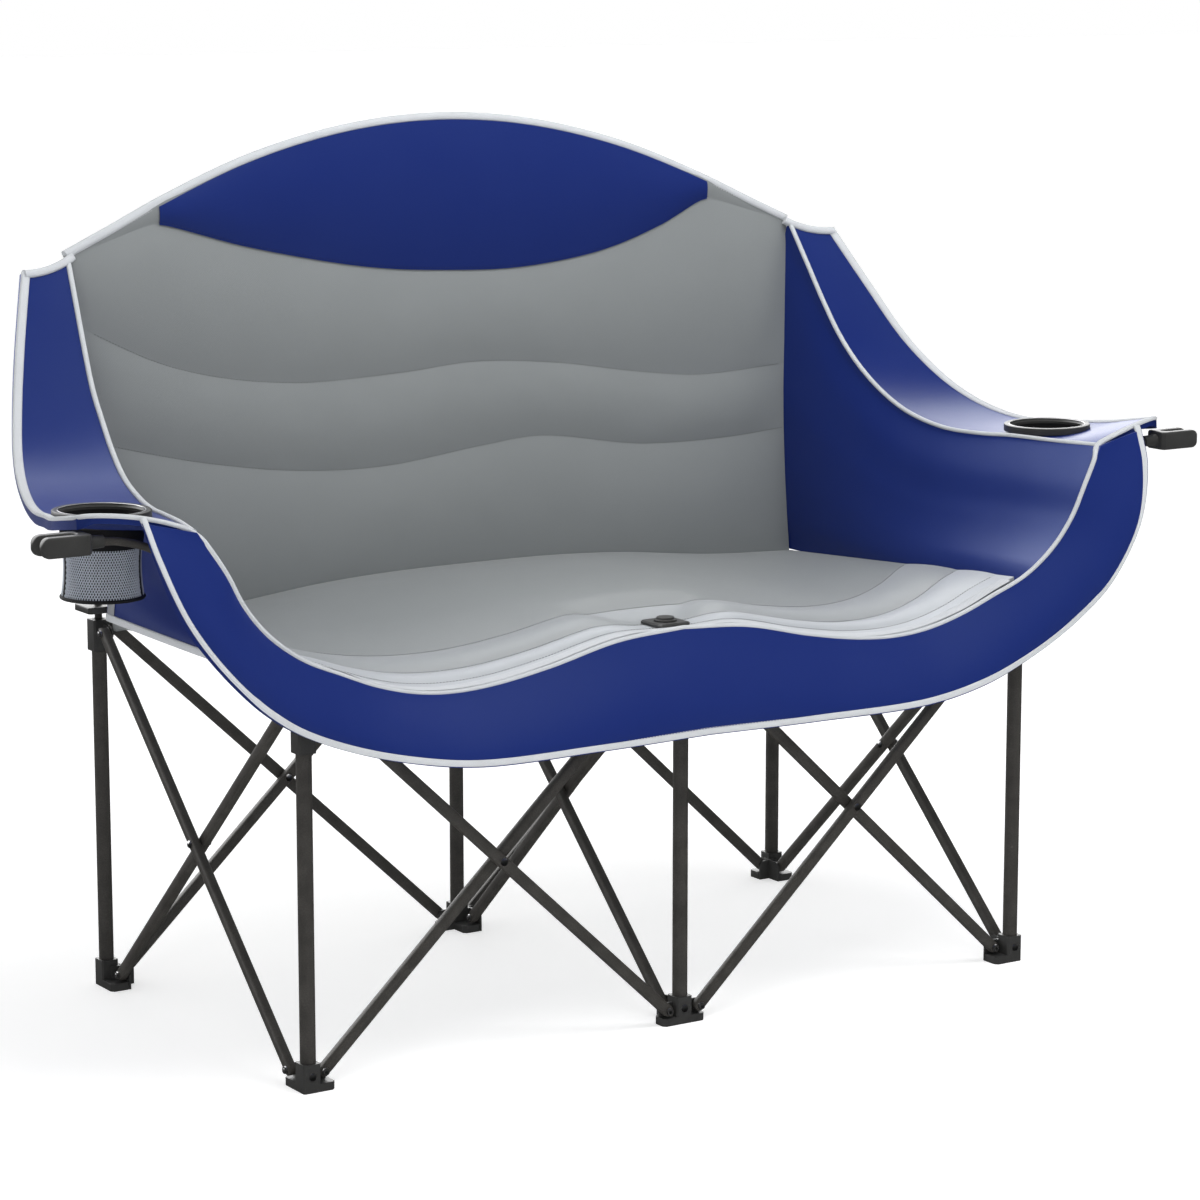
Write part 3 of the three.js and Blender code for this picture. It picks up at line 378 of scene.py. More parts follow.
swing = np.linspace(0, np.pi / 2, 7)[:-1]
stations = np.r_[-bar_half * np.cos(swing), np.linspace(0, bar_length, 24),
                 bar_length + bar_half * np.sin(swing[1:]), bar_length + bar_half * 0.998]
tall = np.r_[bar_half * np.sin(swing), np.full(24, bar_half), bar_half * np.cos(swing[1:]), end_half]
for name, (low, high, away) in scissors.items():
    outside = np.array([*away, 0.0])
    for layer, start, end in (("outer", low, high), ("inner", high, low)):
        foot, head = pivot(start, end, foot_pivot), pivot(end, start, hub_pivot)
        middle = outside * (bar_offset if layer == "outer" else -bar_offset)
        line = foot + middle + unit(head - foot) * stations[:, None]
        mesh = swept("bar_tube", line, outside, bar_width, 2 * np.maximum(tall, end_half), 20, 3.6, 50)
        piece = "bar_%s_%s" % (name, layer)
        add_piece("tube_" + piece, mesh, powder_coat, piece, piece)
    cross = (pivot(low, high, foot_pivot) + pivot(high, low, hub_pivot)) / 2
    for sign in (1, -1):
        pin_spot("bar_%s_outer" % name, cross + outside * sign * rivet_out, outside * sign)
    for post, far, face, height, body in (
            (low, high, rivet_out, foot_pivot, "base_" + low),
            (high, low, rivet_in, foot_pivot, "base_" + high),
            (high, low, rivet_out, hub_pivot, "hub_" + high),
            (low, high, rivet_in, hub_pivot, "hub_" + low)):
        pin_spot(body, pivot(post, far, height) + outside * face, outside)
        if body not in with_block:
            x, y = posts[post]
            pin_spot(body, np.array([x, y + shift, height]) + outside * block_out, outside)
            with_block.add(body)


# Rivets: bright domed steel heads over the ends of every pivot pin, set out by their own nodes,
# one mesh for each body that carries them.
def grower(name, *inputs):
    tree = bpy.data.node_groups.new(name, "GeometryNodeTree")
    socket(tree, "Geometry", "Geometry", "INPUT")
    keys = [socket(tree, label, kind, "INPUT", value) for label, kind, value in inputs]
    socket(tree, "Geometry", "Geometry", "OUTPUT")
    return tree, tree.nodes.new("NodeGroupInput").outputs, keys


def painted(tree, given, shape):
    finish = wired(tree, "GeometryNodeSetMaterial", {"Geometry": shape, "Material": given["Material"]})
    wire(tree, "NodeGroupOutput", finish.outputs[0])


def strewn(tree, given, points, bead, axis, heading, *size):
    turned = wired(tree, "FunctionNodeAlignRotationToVector", {"Vector": heading}, axis=axis)
    spread = wired(tree, "GeometryNodeInstanceOnPoints", {
        "Points": points, "Instance": bead, "Rotation": turned.outputs[0],
        "Scale": wire(tree, "ShaderNodeCombineXYZ", *size).outputs[0]})
    real = wire(tree, "GeometryNodeRealizeInstances", spread.outputs[0])
    painted(tree, given, wire(tree, "GeometryNodeSetShadeSmooth", real.outputs[0]).outputs[0])


def grown(name, mesh, group, values, finish, body):
    seed = new_object(name + "_seed", mesh)
    modifier = seed.modifiers.new("grow", "NODES")
    modifier.node_group = group
    for key, value in values.items():
        modifier[key.identifier] = value
    bpy.context.view_layer.update()
    view = bpy.context.evaluated_depsgraph_get()
    result = bpy.data.meshes.new_from_object(seed.evaluated_get(view))
    result.name = name
    bpy.data.objects.remove(seed)
    return add_piece(name, result, finish, body)


rivets, given, (radius_key, height_key, rivet_finish_key) = grower(
    "rivet_heads", ("Radius", "Float", 0.0046), ("Height", "Float", 0.0026), ("Material", "Material", None))
head = wired(rivets, "GeometryNodeMeshUVSphere", {"Segments": 20, "Rings": 10, "Radius": 1.0})
facing = wired(rivets, "GeometryNodeInputNamedAttribute", {"Name": "facing"}, data_type="FLOAT_VECTOR")
strewn(rivets, given, given["Geometry"], head.outputs["Mesh"], "Z", facing.outputs[0],
       given["Radius"], given["Radius"], given["Height"])
for body, spots in pin_spots.items():
    mesh = bpy.data.meshes.new("rivet_points")
    mesh.from_pydata([tuple(p) for p, n in spots], [], [])
    mesh.attributes.new("facing", "FLOAT_VECTOR", "POINT").data.foreach_set(
        "vector", np.array([n for p, n in spots], np.float32).ravel())
    grown("rivets_" + body, mesh, rivets,
          {radius_key: 0.0046, height_key: 0.0026, rivet_finish_key: steel}, steel, body)


# Feet, hubs and rear plates: black plastic mouldings that hold the bars' pins. They
# keep the CAD shapes, with their edges rounded over.
def softened(node, width):
    mesh = nodes[node].data.copy()
    edit = bmesh.new()
    edit.from_mesh(mesh)
    bmesh.ops.remove_doubles(edit, verts=edit.verts, dist=1e-5)
    bmesh.ops.dissolve_limit(edit, angle_limit=math.radians(1.5), verts=edit.verts, edges=edit.edges)
    edges = [e for e in edit.edges if len(e.link_faces) == 2 and e.calc_face_angle() > math.radians(40)
             and e.calc_length() > 2.5 * width]
    bmesh.ops.bevel(edit, geom=edges, offset=width, segments=3, profile=0.6, affect="EDGES",
                    clamp_overlap=True)
    bmesh.ops.triangulate(edit, faces=[f for f in edit.faces if len(f.verts) > 4])
    edit.to_mesh(mesh)
    edit.free()
    body = [b for b, found in frame["record"]["behaviour"]["bodies"].items() if node in found][0]
    add_piece("moulded_" + node, smoothed(mesh, 32), black_plastic, body, node)


for name in posts:
    softened("foot_" + name, 0.0007)
    softened("hub_" + name, 0.0007)
for name in ("rear_left", "rear_middle", "rear_right"):
    softened("plate_" + name, 0.0012)


# Curves of the cut cloth. Each is drawn through points given as shares of the frame's width and
# depth and of the soft goods' rise above the hub pivots.
soft_rise = 0.6014


def spline(points):
    p = np.array(points, float)
    p = np.vstack([2 * p[0] - p[1], p, 2 * p[-1] - p[-2]])
    out = []
    for i in range(1, len(p) - 2):
        a, b, c, d = p[i - 1:i + 3]
        k0, k1, k2 = (max(np.linalg.norm(v), 1e-9) ** 0.5 for v in (b - a, c - b, d - c))
        m1 = ((b - a) / k0 - (c - a) / (k0 + k1) + (c - b) / k1) * k1
        m2 = ((c - b) / k1 - (d - b) / (k1 + k2) + (d - c) / k2) * k1
        t = np.linspace(0, 1, 40, endpoint=False)[:, None]
        out.append((2 * t ** 3 - 3 * t ** 2 + 1) * b + (t ** 3 - 2 * t ** 2 + t) * m1
                   + (3 * t ** 2 - 2 * t ** 3) * c + (t ** 3 - t ** 2) * m2)
    return np.vstack(out + [p[-2:-1]])


def curve(points):
    line = spline(points)
    run = run_along(line)
    run /= run[-1]
    return lambda t: np.stack([np.interp(np.clip(t, 0, 1), run, line[:, k]) for k in range(3)], -1)


def profile(shares):
    half = [(-at, value) for at, value in shares[:0:-1]] if shares[0][0] == 0 else []
    line = spline([(a, v, 0.0) for a, v in half + list(shares)])
    return lambda x: np.interp(x, line[:, 0], line[:, 1])


def ease(x, low, high):
    t = np.clip((x - low) / (high - low), 0, 1)
    return t * t * (3 - 2 * t)


# A closed pad or cloth between a face and its back, both grids of points over the same weave
def closed_shell(name, face, back, sharp=40):
    rows, columns = face.shape[0] - 1, face.shape[1] - 1
    stride = columns + 1
    layer = stride * (rows + 1)
    r, c = np.meshgrid(np.arange(rows), np.arange(columns), indexing="ij")
    a = (r * stride + c).ravel()
    faces = np.concatenate([
        np.stack([a, a + 1, a + stride + 1, a + stride], 1),
        np.stack([layer + a, layer + a + stride, layer + a + stride + 1, layer + a + 1], 1)]).tolist()
    for k in range(columns):
        z = rows * stride + k
        faces += [[k, layer + k, layer + k + 1, k + 1], [z, z + 1, layer + z + 1, layer + z]]
    for k in range(rows):
        a, b = k * stride, k * stride + columns
        faces += [[a, a + stride, layer + a + stride, layer + a],
                  [b, layer + b, layer + b + stride, b + stride]]
    wide = np.r_[0, np.cumsum(np.linalg.norm(np.diff(face, axis=1), axis=2).mean(0))]
    tall = np.r_[0, np.cumsum(np.linalg.norm(np.diff(face, axis=0), axis=2).mean(1))]
    uv = np.stack(np.meshgrid(wide, tall), -1).reshape(-1, 2)
    points = np.concatenate([face.reshape(-1, 3), back.reshape(-1, 3)])
    return mesh_of(name, points, faces, np.concatenate([uv, uv + 0.003]), sharp)


# The rows of a pad, band by band between its seams, closer together beside the seams. The third
# value says whether the row is a seam.
def bands(*counts):
    last = len(counts) - 1
    for band, rows in enumerate(counts):
        steps = np.arange(rows + 1 if band == last else rows) / rows
        for w in (1 - np.cos(np.pi * steps)) / 2:
            yield band, w, w == 0 or (band == last and w == 1)


# Padding: air pressure swells the face of a pad between its pinned seams, as filling does. The
# swelling is evened out along the rows, because a filled roll doesn't wrinkle.
def swell(mesh, columns, pinned, pressure, slack, most, frames=20):
    rest = np.array([v.co for v in mesh.vertices])
    pad = new_object("swelling", mesh.copy())
    group = pad.vertex_groups.new(name="sewn")
    group.add([int(i) for i in np.flatnonzero(pinned)], 1.0, "REPLACE")
    cloth = pad.modifiers.new("cloth", "CLOTH")
    for key, value in {
            "quality": 6, "mass": 0.25, "tension_stiffness": 12, "compression_stiffness": 12,
            "shear_stiffness": 6, "bending_stiffness": 0.35, "vertex_group_mass": "sewn",
            "use_pressure": True, "uniform_pressure_force": pressure, "shrink_min": -slack}.items():
        setattr(cloth.settings, key, value)
    cloth.settings.effector_weights.gravity = 0
    cloth.collision_settings.use_collision = False
    cloth.point_cache.frame_start = 1
    cloth.point_cache.frame_end = frames
    for step in range(1, frames + 1):
        bpy.context.scene.frame_set(step)
    done = pad.evaluated_get(bpy.context.evaluated_depsgraph_get())
    moved = np.array([v.co for v in done.data.vertices])
    bpy.data.objects.remove(pad)
    bpy.context.scene.frame_set(1)
    step = moved - rest
    rows = step[:step.shape[0] // 2].reshape(-1, columns + 1, 3)
    for _ in range(16):
        rows[:, 1:-1] = (rows[:, :-2] + 2 * rows[:, 1:-1] + rows[:, 2:]) / 4
    far = np.linalg.norm(step, axis=1, keepdims=True)
    step *= np.minimum(1.0, most / np.maximum(far, 1e-9))
    step[pinned] = 0
    mesh.vertices.foreach_set("co", (rest + step).astype(np.float32).ravel())
    mesh.update()
    smoothed(mesh, 55)


# Stitches: short thread lengths along a seam, each lying on the cloth along the seam's run. The
# grey cloth is sewn with grey thread, the tapes with white and the patch with blue.
stitching, given, (spacing_key, length_key, thickness_key, thread_key) = grower(
    "stitch_row", ("Spacing", "Float", 0.004), ("Stitch length", "Float", 0.003),
    ("Thread thickness", "Float", 0.0006), ("Material", "Material", None))
run = wire(stitching, "GeometryNodeMeshToCurve", given["Geometry"])
even = wired(stitching, "GeometryNodeResampleCurve", {
    "Curve": run.outputs[0], "Length": given["Spacing"]}, mode="LENGTH")
bead = wired(stitching, "GeometryNodeMeshIcoSphere", {"Radius": 0.5, "Subdivisions": 1})
tangent = stitching.nodes.new("GeometryNodeInputTangent")
strewn(stitching, given, even.outputs[0], bead.outputs["Mesh"], "X", tangent.outputs[0],
       given["Stitch length"], given["Thread thickness"], given["Thread thickness"])
grey_thread, white_thread, blue_thread = (
    material(name, coat, {"Colour": colour, "Speck colour": speck, "Roughness": 0.7}, 0.2, 0.0002, {})
    for name, colour, speck in (
        ("grey_thread", (0.10, 0.105, 0.11, 1), (0.15, 0.155, 0.16, 1)),
        ("white_thread", (0.55, 0.56, 0.58, 1), (0.65, 0.66, 0.68, 1)),
        ("blue_thread", (0.008, 0.016, 0.10, 1), (0.014, 0.026, 0.15, 1))))


def stitched(name, lines, finish, body, spacing=0.0042, length=0.0032, thread=0.0007):
    edges, base = [], 0
    for line in lines:
        edges += [(base + k, base + k + 1) for k in range(len(line) - 1)]
        base += len(line)
    mesh = bpy.data.meshes.new(name)
    mesh.from_pydata([tuple(p) for p in np.concatenate(lines)], edges, [])
    values = {spacing_key: spacing, length_key: length, thickness_key: thread, thread_key: finish}
    return grown(name, mesh, stitching, values, finish, body)


# Seat pad: three sewn rolls along the front and one wide panel behind them. It sags between the
# posts, and it is made of three lengths so that it can fold up in the middle.
seat_front_edge = profile([(0, 0.052), (0.09, 0.042), (0.18, 0.008), (0.25, -0.012), (0.31, -0.017),
                           (0.36, -0.009), (0.41, 0.014), (0.46, 0.05), (0.5, 0.074)])
seat_rear_edge = profile([(0, 0.067), (0.12, 0.065), (0.22, 0.056), (0.37, 0.03), (0.5, 0.019)])
seat_front_y, seat_rear_y, seat_half = -0.25548, 0.2160, 0.4972
seat_seams = [profile(t) for t in (
    [(0, -0.464), (0.2, -0.46), (0.3, -0.454), (0.5, -0.43)],
    [(0, -0.414), (0.2, -0.406), (0.3, -0.389), (0.4, -0.35), (0.5, -0.278)],
    [(0, -0.306), (0.19, -0.298), (0.294, -0.267), (0.407, -0.19), (0.5, -0.073)])]
columns = 168
x = np.linspace(-seat_half, seat_half, columns + 1)
lines = [np.full_like(x, seat_front_y)] + [s(x) * depth for s in seat_seams] + [np.full_like(x, seat_rear_y)]
face, under, sewn, painted_highlight = [], [], [], []
side = 1 - (x / seat_half) ** 8
crown, rim_thick, filling, skin = 0.020, 0.004, 0.020, 0.0012
for band, w, seam in bands(8, 10, 14, 44):
    y = lines[band] + (lines[band + 1] - lines[band]) * w
    back = (y - seat_front_y) / (seat_rear_y - seat_front_y)
    z = hub_pivot + soft_rise * (seat_front_edge(x) * (1 - back) + seat_rear_edge(x) * back)
    z += crown * (1 - (1 - back) ** 4) * (1 - back * back) * (1 - (x / seat_half) ** 4)
    t = (band + w) / 4
    ends = min(1, 4 * t, 6 * (1 - t))
    puff = 4 * w * (1 - w) * (0, 0.0042, 0.005, 0.0045 * side)[band] * (0.45 + 0.55 * side)
    # Painted highlight: the front rolls' colour is made paler, in steps at the seams and most on the front
    # strip, standing in for the bright room's reflection on them; the main panel gets none
    painted_highlight.append(np.full(columns + 1, (0.85, 0.62 + 0.3 * w, 0.12 + 0.36 * w, 0)[band]))
    face.append(np.stack([x, y + shift, z + puff + skin], -1))
    under.append(np.stack([x, y + shift, z - (rim_thick + filling * side * ends)], -1))
    sewn.append(np.full(columns + 1, seam))
face, under, sewn = np.array(face), np.array(under), np.array(sewn)
sewn[:, :2] = sewn[:, -2:] = True
sewn[:9] = True
seat = closed_shell("seat_whole", face, under)
# The painted highlight's strength is stored on the face's points, none on the underside
seat.attributes.new("painted_highlight", "FLOAT", "POINT").data.foreach_set(
    "value", np.r_[np.ravel(painted_highlight), np.zeros(sewn.size)].astype(np.float32))
swell(seat, columns, np.r_[sewn.ravel(), np.ones(sewn.size, bool)], 1.8, 0.003, 0.004)
# The cap's plate presses the pad down to its own underside, less and less away from its edges
cap_place, cap_reach, cap_under = (0.0, -0.22435 + shift), 0.023, 0.4734
for vert in seat.vertices:
    beside = max(abs(vert.co.x) - cap_reach, abs(vert.co.y - cap_place[1]) - cap_reach, 0)
    vert.co.z -= max(vert.co.z - cap_under, 0) * float(1 - ease(beside, 0, 0.08))
seat_tree = BVHTree.FromPolygons([v.co for v in seat.vertices], [p.vertices for p in seat.polygons])
hinge_line, fold_line = -0.20135 + shift, 0.004625 + shift
for name, low, high, body, node in (
        ("seat_pad_front", -1.0, hinge_line, "hub_front_middle", "seat_front_roll"),
        ("seat_pad_middle", hinge_line, fold_line, "seat_front", "seat_front_half"),
        ("seat_pad_rear", fold_line, 1.0, "seat_rear", "seat_rear_half")):
    edit = bmesh.new()
    edit.from_mesh(seat)
    for place, facing in ((low, (0, -1, 0)), (high, (0, 1, 0))):
        cut = bmesh.ops.bisect_plane(edit, geom=edit.verts[:] + edit.edges[:] + edit.faces[:], dist=1e-6,
                                     plane_co=(0, place, 0), plane_no=facing, clear_outer=True)
        rim = [e for e in cut["geom_cut"] if isinstance(e, bmesh.types.BMEdge)]
        if rim:
            bmesh.ops.holes_fill(edit, edges=rim, sides=0)
    mesh = bpy.data.meshes.new(name)
    edit.to_mesh(mesh)
    edit.free()
    part = add_piece(name, smoothed(mesh, 55), grey_cloth, body, node)
    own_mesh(part)


def seat_line(x, y, lift=0.0006):
    out = []
    for px, py in zip(x, y):
        hit = seat_tree.ray_cast(Vector((px, py + shift, 0.7)), Vector((0, 0, -1)))[0]
        if hit is not None:
            out.append((px, py + shift, hit.z + lift))
    return np.array(out)


for number in range(3):
    row = seat_line(x, lines[number + 1])[2:-2]
    parts = np.split(row, np.flatnonzero(np.diff(row[:, 1] < hinge_line)) + 1)
    for body, ahead in (("hub_front_middle", True), ("seat_front", False)):
        runs = [run for run in parts if len(run) > 1 and (run[0, 1] < hinge_line) == ahead]
        if runs:
            thread_row = stitched("seat_stitches_%d_%s" % (number, body), runs, grey_thread, body)
            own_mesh(thread_row)
# The front tape is folded over the pad's front edge, broader at both ends
px = np.linspace(-0.486, 0.486, 170)
front, behind = (seat_line(px, px * 0 + seat_front_y + inward, 0.0007) for inward in (0.0008, 0.012))
front[:, 1] -= 0.0075 * ease(abs(px), 0.36, 0.46)
broad = np.linalg.norm(behind - front, axis=1)
tape = swept("seat_front_tape", (front + behind) / 2, behind - front, broad, 0.0012, 10, 3.0)
edging = add_piece("seat_front_tape", tape, white_tape, "hub_front_middle")
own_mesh(edging)

# Seat cap: a square clamp plate of black plastic with bevelled edges, fixed through the cloth to the
# stub below it with a stepped round button.
half, cut = 0.022, 0.019
outline = [(-cut, -half), (cut, -half), (half, -cut), (half, cut), (cut, half), (-cut, half),
           (-half, cut), (-half, -cut)]
levels = ((0.474, 0.96), (0.4748, 1.0), (0.4768, 1.0), (0.4782, 0.93))
points = [(cap_place[0] + a * s, cap_place[1] + b * s, z) for z, s in levels for a, b in outline]
faces = [(k * 8 + i, k * 8 + (i + 1) % 8, k * 8 + 8 + (i + 1) % 8, k * 8 + 8 + i)
         for k in range(3) for i in range(8)]
faces += [tuple(range(8))[::-1], tuple(range(24, 32))]
add_piece("cap_plate", mesh_of("cap_plate", points, faces, None, 25), black_plastic,
          "hub_front_middle", "seat_cap")
section = [(0.0001, 0.4765), (0.0138, 0.4765), (0.0138, 0.4796), (0.0132, 0.4804), (0.0112, 0.4806),
           (0.0108, 0.4810), (0.0106, 0.4824), (0.0098, 0.4831), (0.004, 0.4829), (0.0001, 0.4829)]
add_piece("cap_button", lathed("cap_button", section, (*cap_place, 0), 56, None, 30, False),
          black_plastic, "hub_front_middle")

# Back pad: a tall padded panel with an arched top, sewn to the three rear poles. Two wavy seams
# cross it, and a blue lens-shaped patch is sewn on under the top edge.
hub_top = 0.456
back_y = depth / 2 - 0.03975
back_lines = [profile(t) for t in (
    [(0, 0.056), (0.1, 0.054), (0.21, 0.045), (0.37, 0.015), (0.48, 0.006), (0.53, 0.002)],
    [(-0.53, 0.39), (-0.37, 0.325), (-0.23, 0.29), (-0.11, 0.285), (0.03, 0.31), (0.12, 0.32),
     (0.27, 0.285), (0.4, 0.282), (0.53, 0.297)],
    [(-0.53, 0.62), (-0.39, 0.514), (-0.24, 0.47), (-0.08, 0.474), (0.03, 0.486), (0.15, 0.471),
     (0.28, 0.438), (0.37, 0.423), (0.53, 0.436)],
    [(-0.53, 0.7425), (-0.41, 0.80), (-0.398, 0.80), (-0.281, 0.747), (-0.115, 0.694), (0, 0.679),
     (0.103, 0.677), (0.226, 0.702), (0.321, 0.749), (0.392, 0.80), (0.404, 0.80), (0.53, 0.7425)],
    [(0, 1), (0.09, 0.992), (0.18, 0.968), (0.28, 0.924), (0.39, 0.854), (0.47, 0.794), (0.53, 0.75)])]
side_line = spline([(0, 0.4965, 0), (0.18, 0.4974, 0), (0.36, 0.5025, 0), (0.74, 0.5245, 0), (1, 0.53, 0)])


def back_plane(z):
    return back_y + 0.12 * (z - hub_top) + shift


s = np.linspace(-1, 1, columns + 1)
edge = 1 - s ** 8
rim_thick, filling, roll = 0.008, 0.0165, 0.0065
face, rear, sewn = [], [], []
for band, w, seam in bands(22, 18, 18, 14):
    px = s * 0.51
    for _ in range(3):
        low, high = back_lines[band](px), back_lines[band + 1](px)
        high = np.minimum(high, back_lines[4](px) - 0.004 * (3 - band if band < 3 else 0))
        low = np.minimum(low, high)
        z = low + (high - low) * w
        px = s * np.interp(z, side_line[:, 0], side_line[:, 1])
    inside = np.minimum(back_lines[4](px) - z, z - back_lines[0](px))
    ends = np.sin(np.clip(inside / 0.09, 0, 1) * np.pi / 2)
    z = hub_pivot + soft_rise * z
    room = np.clip((high - low) / 0.06, 0, 1)
    puff = 4 * w * (1 - w) * edge * roll * room
    face.append(np.stack([px, back_plane(z) - puff, z], -1))
    rear.append(np.stack([px, back_plane(z) + rim_thick + filling * edge * ends, z], -1))
    sewn.append(np.full(columns + 1, seam))
face, rear, sewn = np.array(face), np.array(rear), np.array(sewn)
sewn[:, :2] = sewn[:, -2:] = True
back = closed_shell("back_pad_cloth", face, rear)
swell(back, columns, np.r_[sewn.ravel(), np.ones(sewn.size, bool)], 2.0, 0.004, 0.008)
back_tree = BVHTree.FromPolygons([v.co for v in back.vertices], [p.vertices for p in back.polygons])
back_piece = add_piece("back_pad_cloth", back, grey_cloth, "hub_rear_middle", "back_pad")


def on_back(px, pz, lift):
    hit = back_tree.ray_cast(Vector((px, -0.3, pz)), Vector((0, 1, 0)))[0]
    return (px, (hit.y if hit is not None else back_plane(pz)) - lift, pz)


# The patch reaches from its wavy lower edge to the top of the pad
px = np.linspace(-0.4, 0.398, 90)
low = hub_pivot + soft_rise * back_lines[3](px)
high = hub_pivot + soft_rise * back_lines[4](px) - 0.006
rows = [low + (high - low) * w for w in np.linspace(0, 1, 26)]
front = np.array([[on_back(a, b, 0.0018) for a, b in zip(px, row)] for row in rows])
behind = front + np.array([0, 0.0009, 0])
patch = add_piece("back_patch", closed_shell("back_patch", front, behind), blue_cloth, "hub_rear_middle")
seams = [np.array([on_back(a, hub_pivot + soft_rise * line(a), 0.0004)
                   for a in np.linspace(-0.495, 0.495, 150)]) for line in back_lines[1:3]]
back_threads = stitched("back_stitches", seams, grey_thread, "hub_rear_middle")
patch_seam = np.array([on_back(a, b + 0.003, 0.0021) for a, b in zip(px, low)])
patch_threads = stitched("patch_stitches", [patch_seam], blue_thread, "hub_rear_middle")
for part in (back_piece, patch, back_threads, patch_threads):
    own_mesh(part)


# The back's top edge is bound with the white tape, folded over the arch and stitched
def bound(name, line, across, width, height, finish, body, squash=None, power=3.0, sides=14):
    made = add_piece(name, swept(name, line, across, width, height, sides, power, 60), finish, body)
    if squash:
        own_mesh(made)
    return made


px = np.linspace(-0.525, 0.525, 200)
pz = hub_pivot + soft_rise * back_lines[4](px)
top = np.stack([px, back_plane(pz) + 0.0035, pz - 0.0025], -1)
for_back = ((1, 0, 0), (0, 0, 0), 0.32)
bound("back_rim_tape", top, (0, 0.12, 1), 0.011, 0.0125, white_tape, "hub_rear_middle", for_back)
row = top + np.array([0, -0.0064, -0.004])
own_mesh(stitched("back_rim_stitches", [row], white_thread, "hub_rear_middle"))


# Arms: one padded panel each, from the back's top corner down and forward as the armrest, with the
# wing's height left between the white inner piping and the taped outer rim.
def soft_curve(shares):
    return curve([(a, b * depth, hub_pivot + c * soft_rise) for a, b, c in shares])


piping = soft_curve([
    (0.526, 0.515, 0.744), (0.532, 0.447, 0.651), (0.537, 0.39, 0.573), (0.542, 0.332, 0.503),
    (0.547, 0.261, 0.442), (0.554, 0.183, 0.392), (0.562, 0.096, 0.354), (0.573, -0.026, 0.329),
    (0.588, -0.15, 0.325), (0.598, -0.23, 0.328), (0.61, -0.363, 0.329), (0.627, -0.505, 0.33)])
rim = soft_curve([
    (0.589, 0.488, 0.724), (0.619, 0.398, 0.601), (0.646, 0.307, 0.488), (0.669, 0.214, 0.412),
    (0.686, 0.125, 0.368), (0.702, 0.02, 0.341), (0.716, -0.084, 0.334), (0.73, -0.194, 0.341),
    (0.744, -0.285, 0.348), (0.748, -0.369, 0.358), (0.75, -0.448, 0.367)])
arm_thickness, fascia_thickness, soft_gap = 0.008, 0.006, 0.0005
both_sides = ((-1, "left"), (1, "right"))


def arm_surface(s, t):
    s, t = np.broadcast_arrays(s, t)
    point = piping(t) * (1 - s[..., None]) + rim(t) * s[..., None]
    arch = 4 * s * (1 - s)
    front = ease(t, 0.84, 1)
    point[..., 1] += front * (fascia_thickness + 2 * soft_gap - 0.013 * arch)
    point[..., 2] += arch * (front * 0.008 - (1 - front) * 0.004)
    return point


def offset(surface, s, t, far):
    s, t = np.broadcast_arrays(np.asarray(s, float), np.asarray(t, float))
    step = 0.01
    along = surface(np.clip(s + step, 0, 1), t) - surface(np.clip(s - step, 0, 1), t)
    across = surface(s, np.clip(t + step, 0, 1)) - surface(s, np.clip(t - step, 0, 1))
    return surface(s, t) + unit(np.cross(along, across)) * far


def placed(points, sign):
    return points * np.array([sign, 1, 1]) + np.array([0, shift, 0])


def on_side(mesh, sign):
    if sign < 0:
        mesh.transform(Matrix.Scale(-1, 4, (1, 0, 0)))
        mesh.flip_normals()


# The cup's hole lies half way across the arm. Its place along the arm is found by halving.
cup_x, cup_y = 0.666, -0.212 * depth
low_t, high_t = 0.0, 1.0
for _ in range(30):
    mid_t = (low_t + high_t) / 2
    if arm_surface(np.array(0.5), np.array(mid_t))[1] > cup_y:
        low_t = mid_t
    else:
        high_t = mid_t
inner, outer = (arm_surface(np.array(s), np.array(low_t)) for s in (0.0, 1.0))
arm_roll = math.atan2(outer[2] - inner[2], outer[0] - inner[0])
cup_tilt = -0.2 * arm_roll
cup_z = inner[2] + math.tan(arm_roll) * (cup_x - inner[0]) + 0.0003
hole_radius, ledge_radius, ledge_depth = 0.0494, 0.0553, 0.0032
s, t = np.meshgrid(np.linspace(0, 1, 33), np.linspace(0, 1, 110))
arm_top = arm_surface(s, t)
arm_low = offset(arm_surface, s, t, arm_thickness)
arm_low[..., 2] -= 0.0055 * ease(s, 0.86, 1) * ease(t, 0.5, 0.75)
for_arm = ((0, 1, 0), (0, -depth / 2 + shift, 0), 0.31)
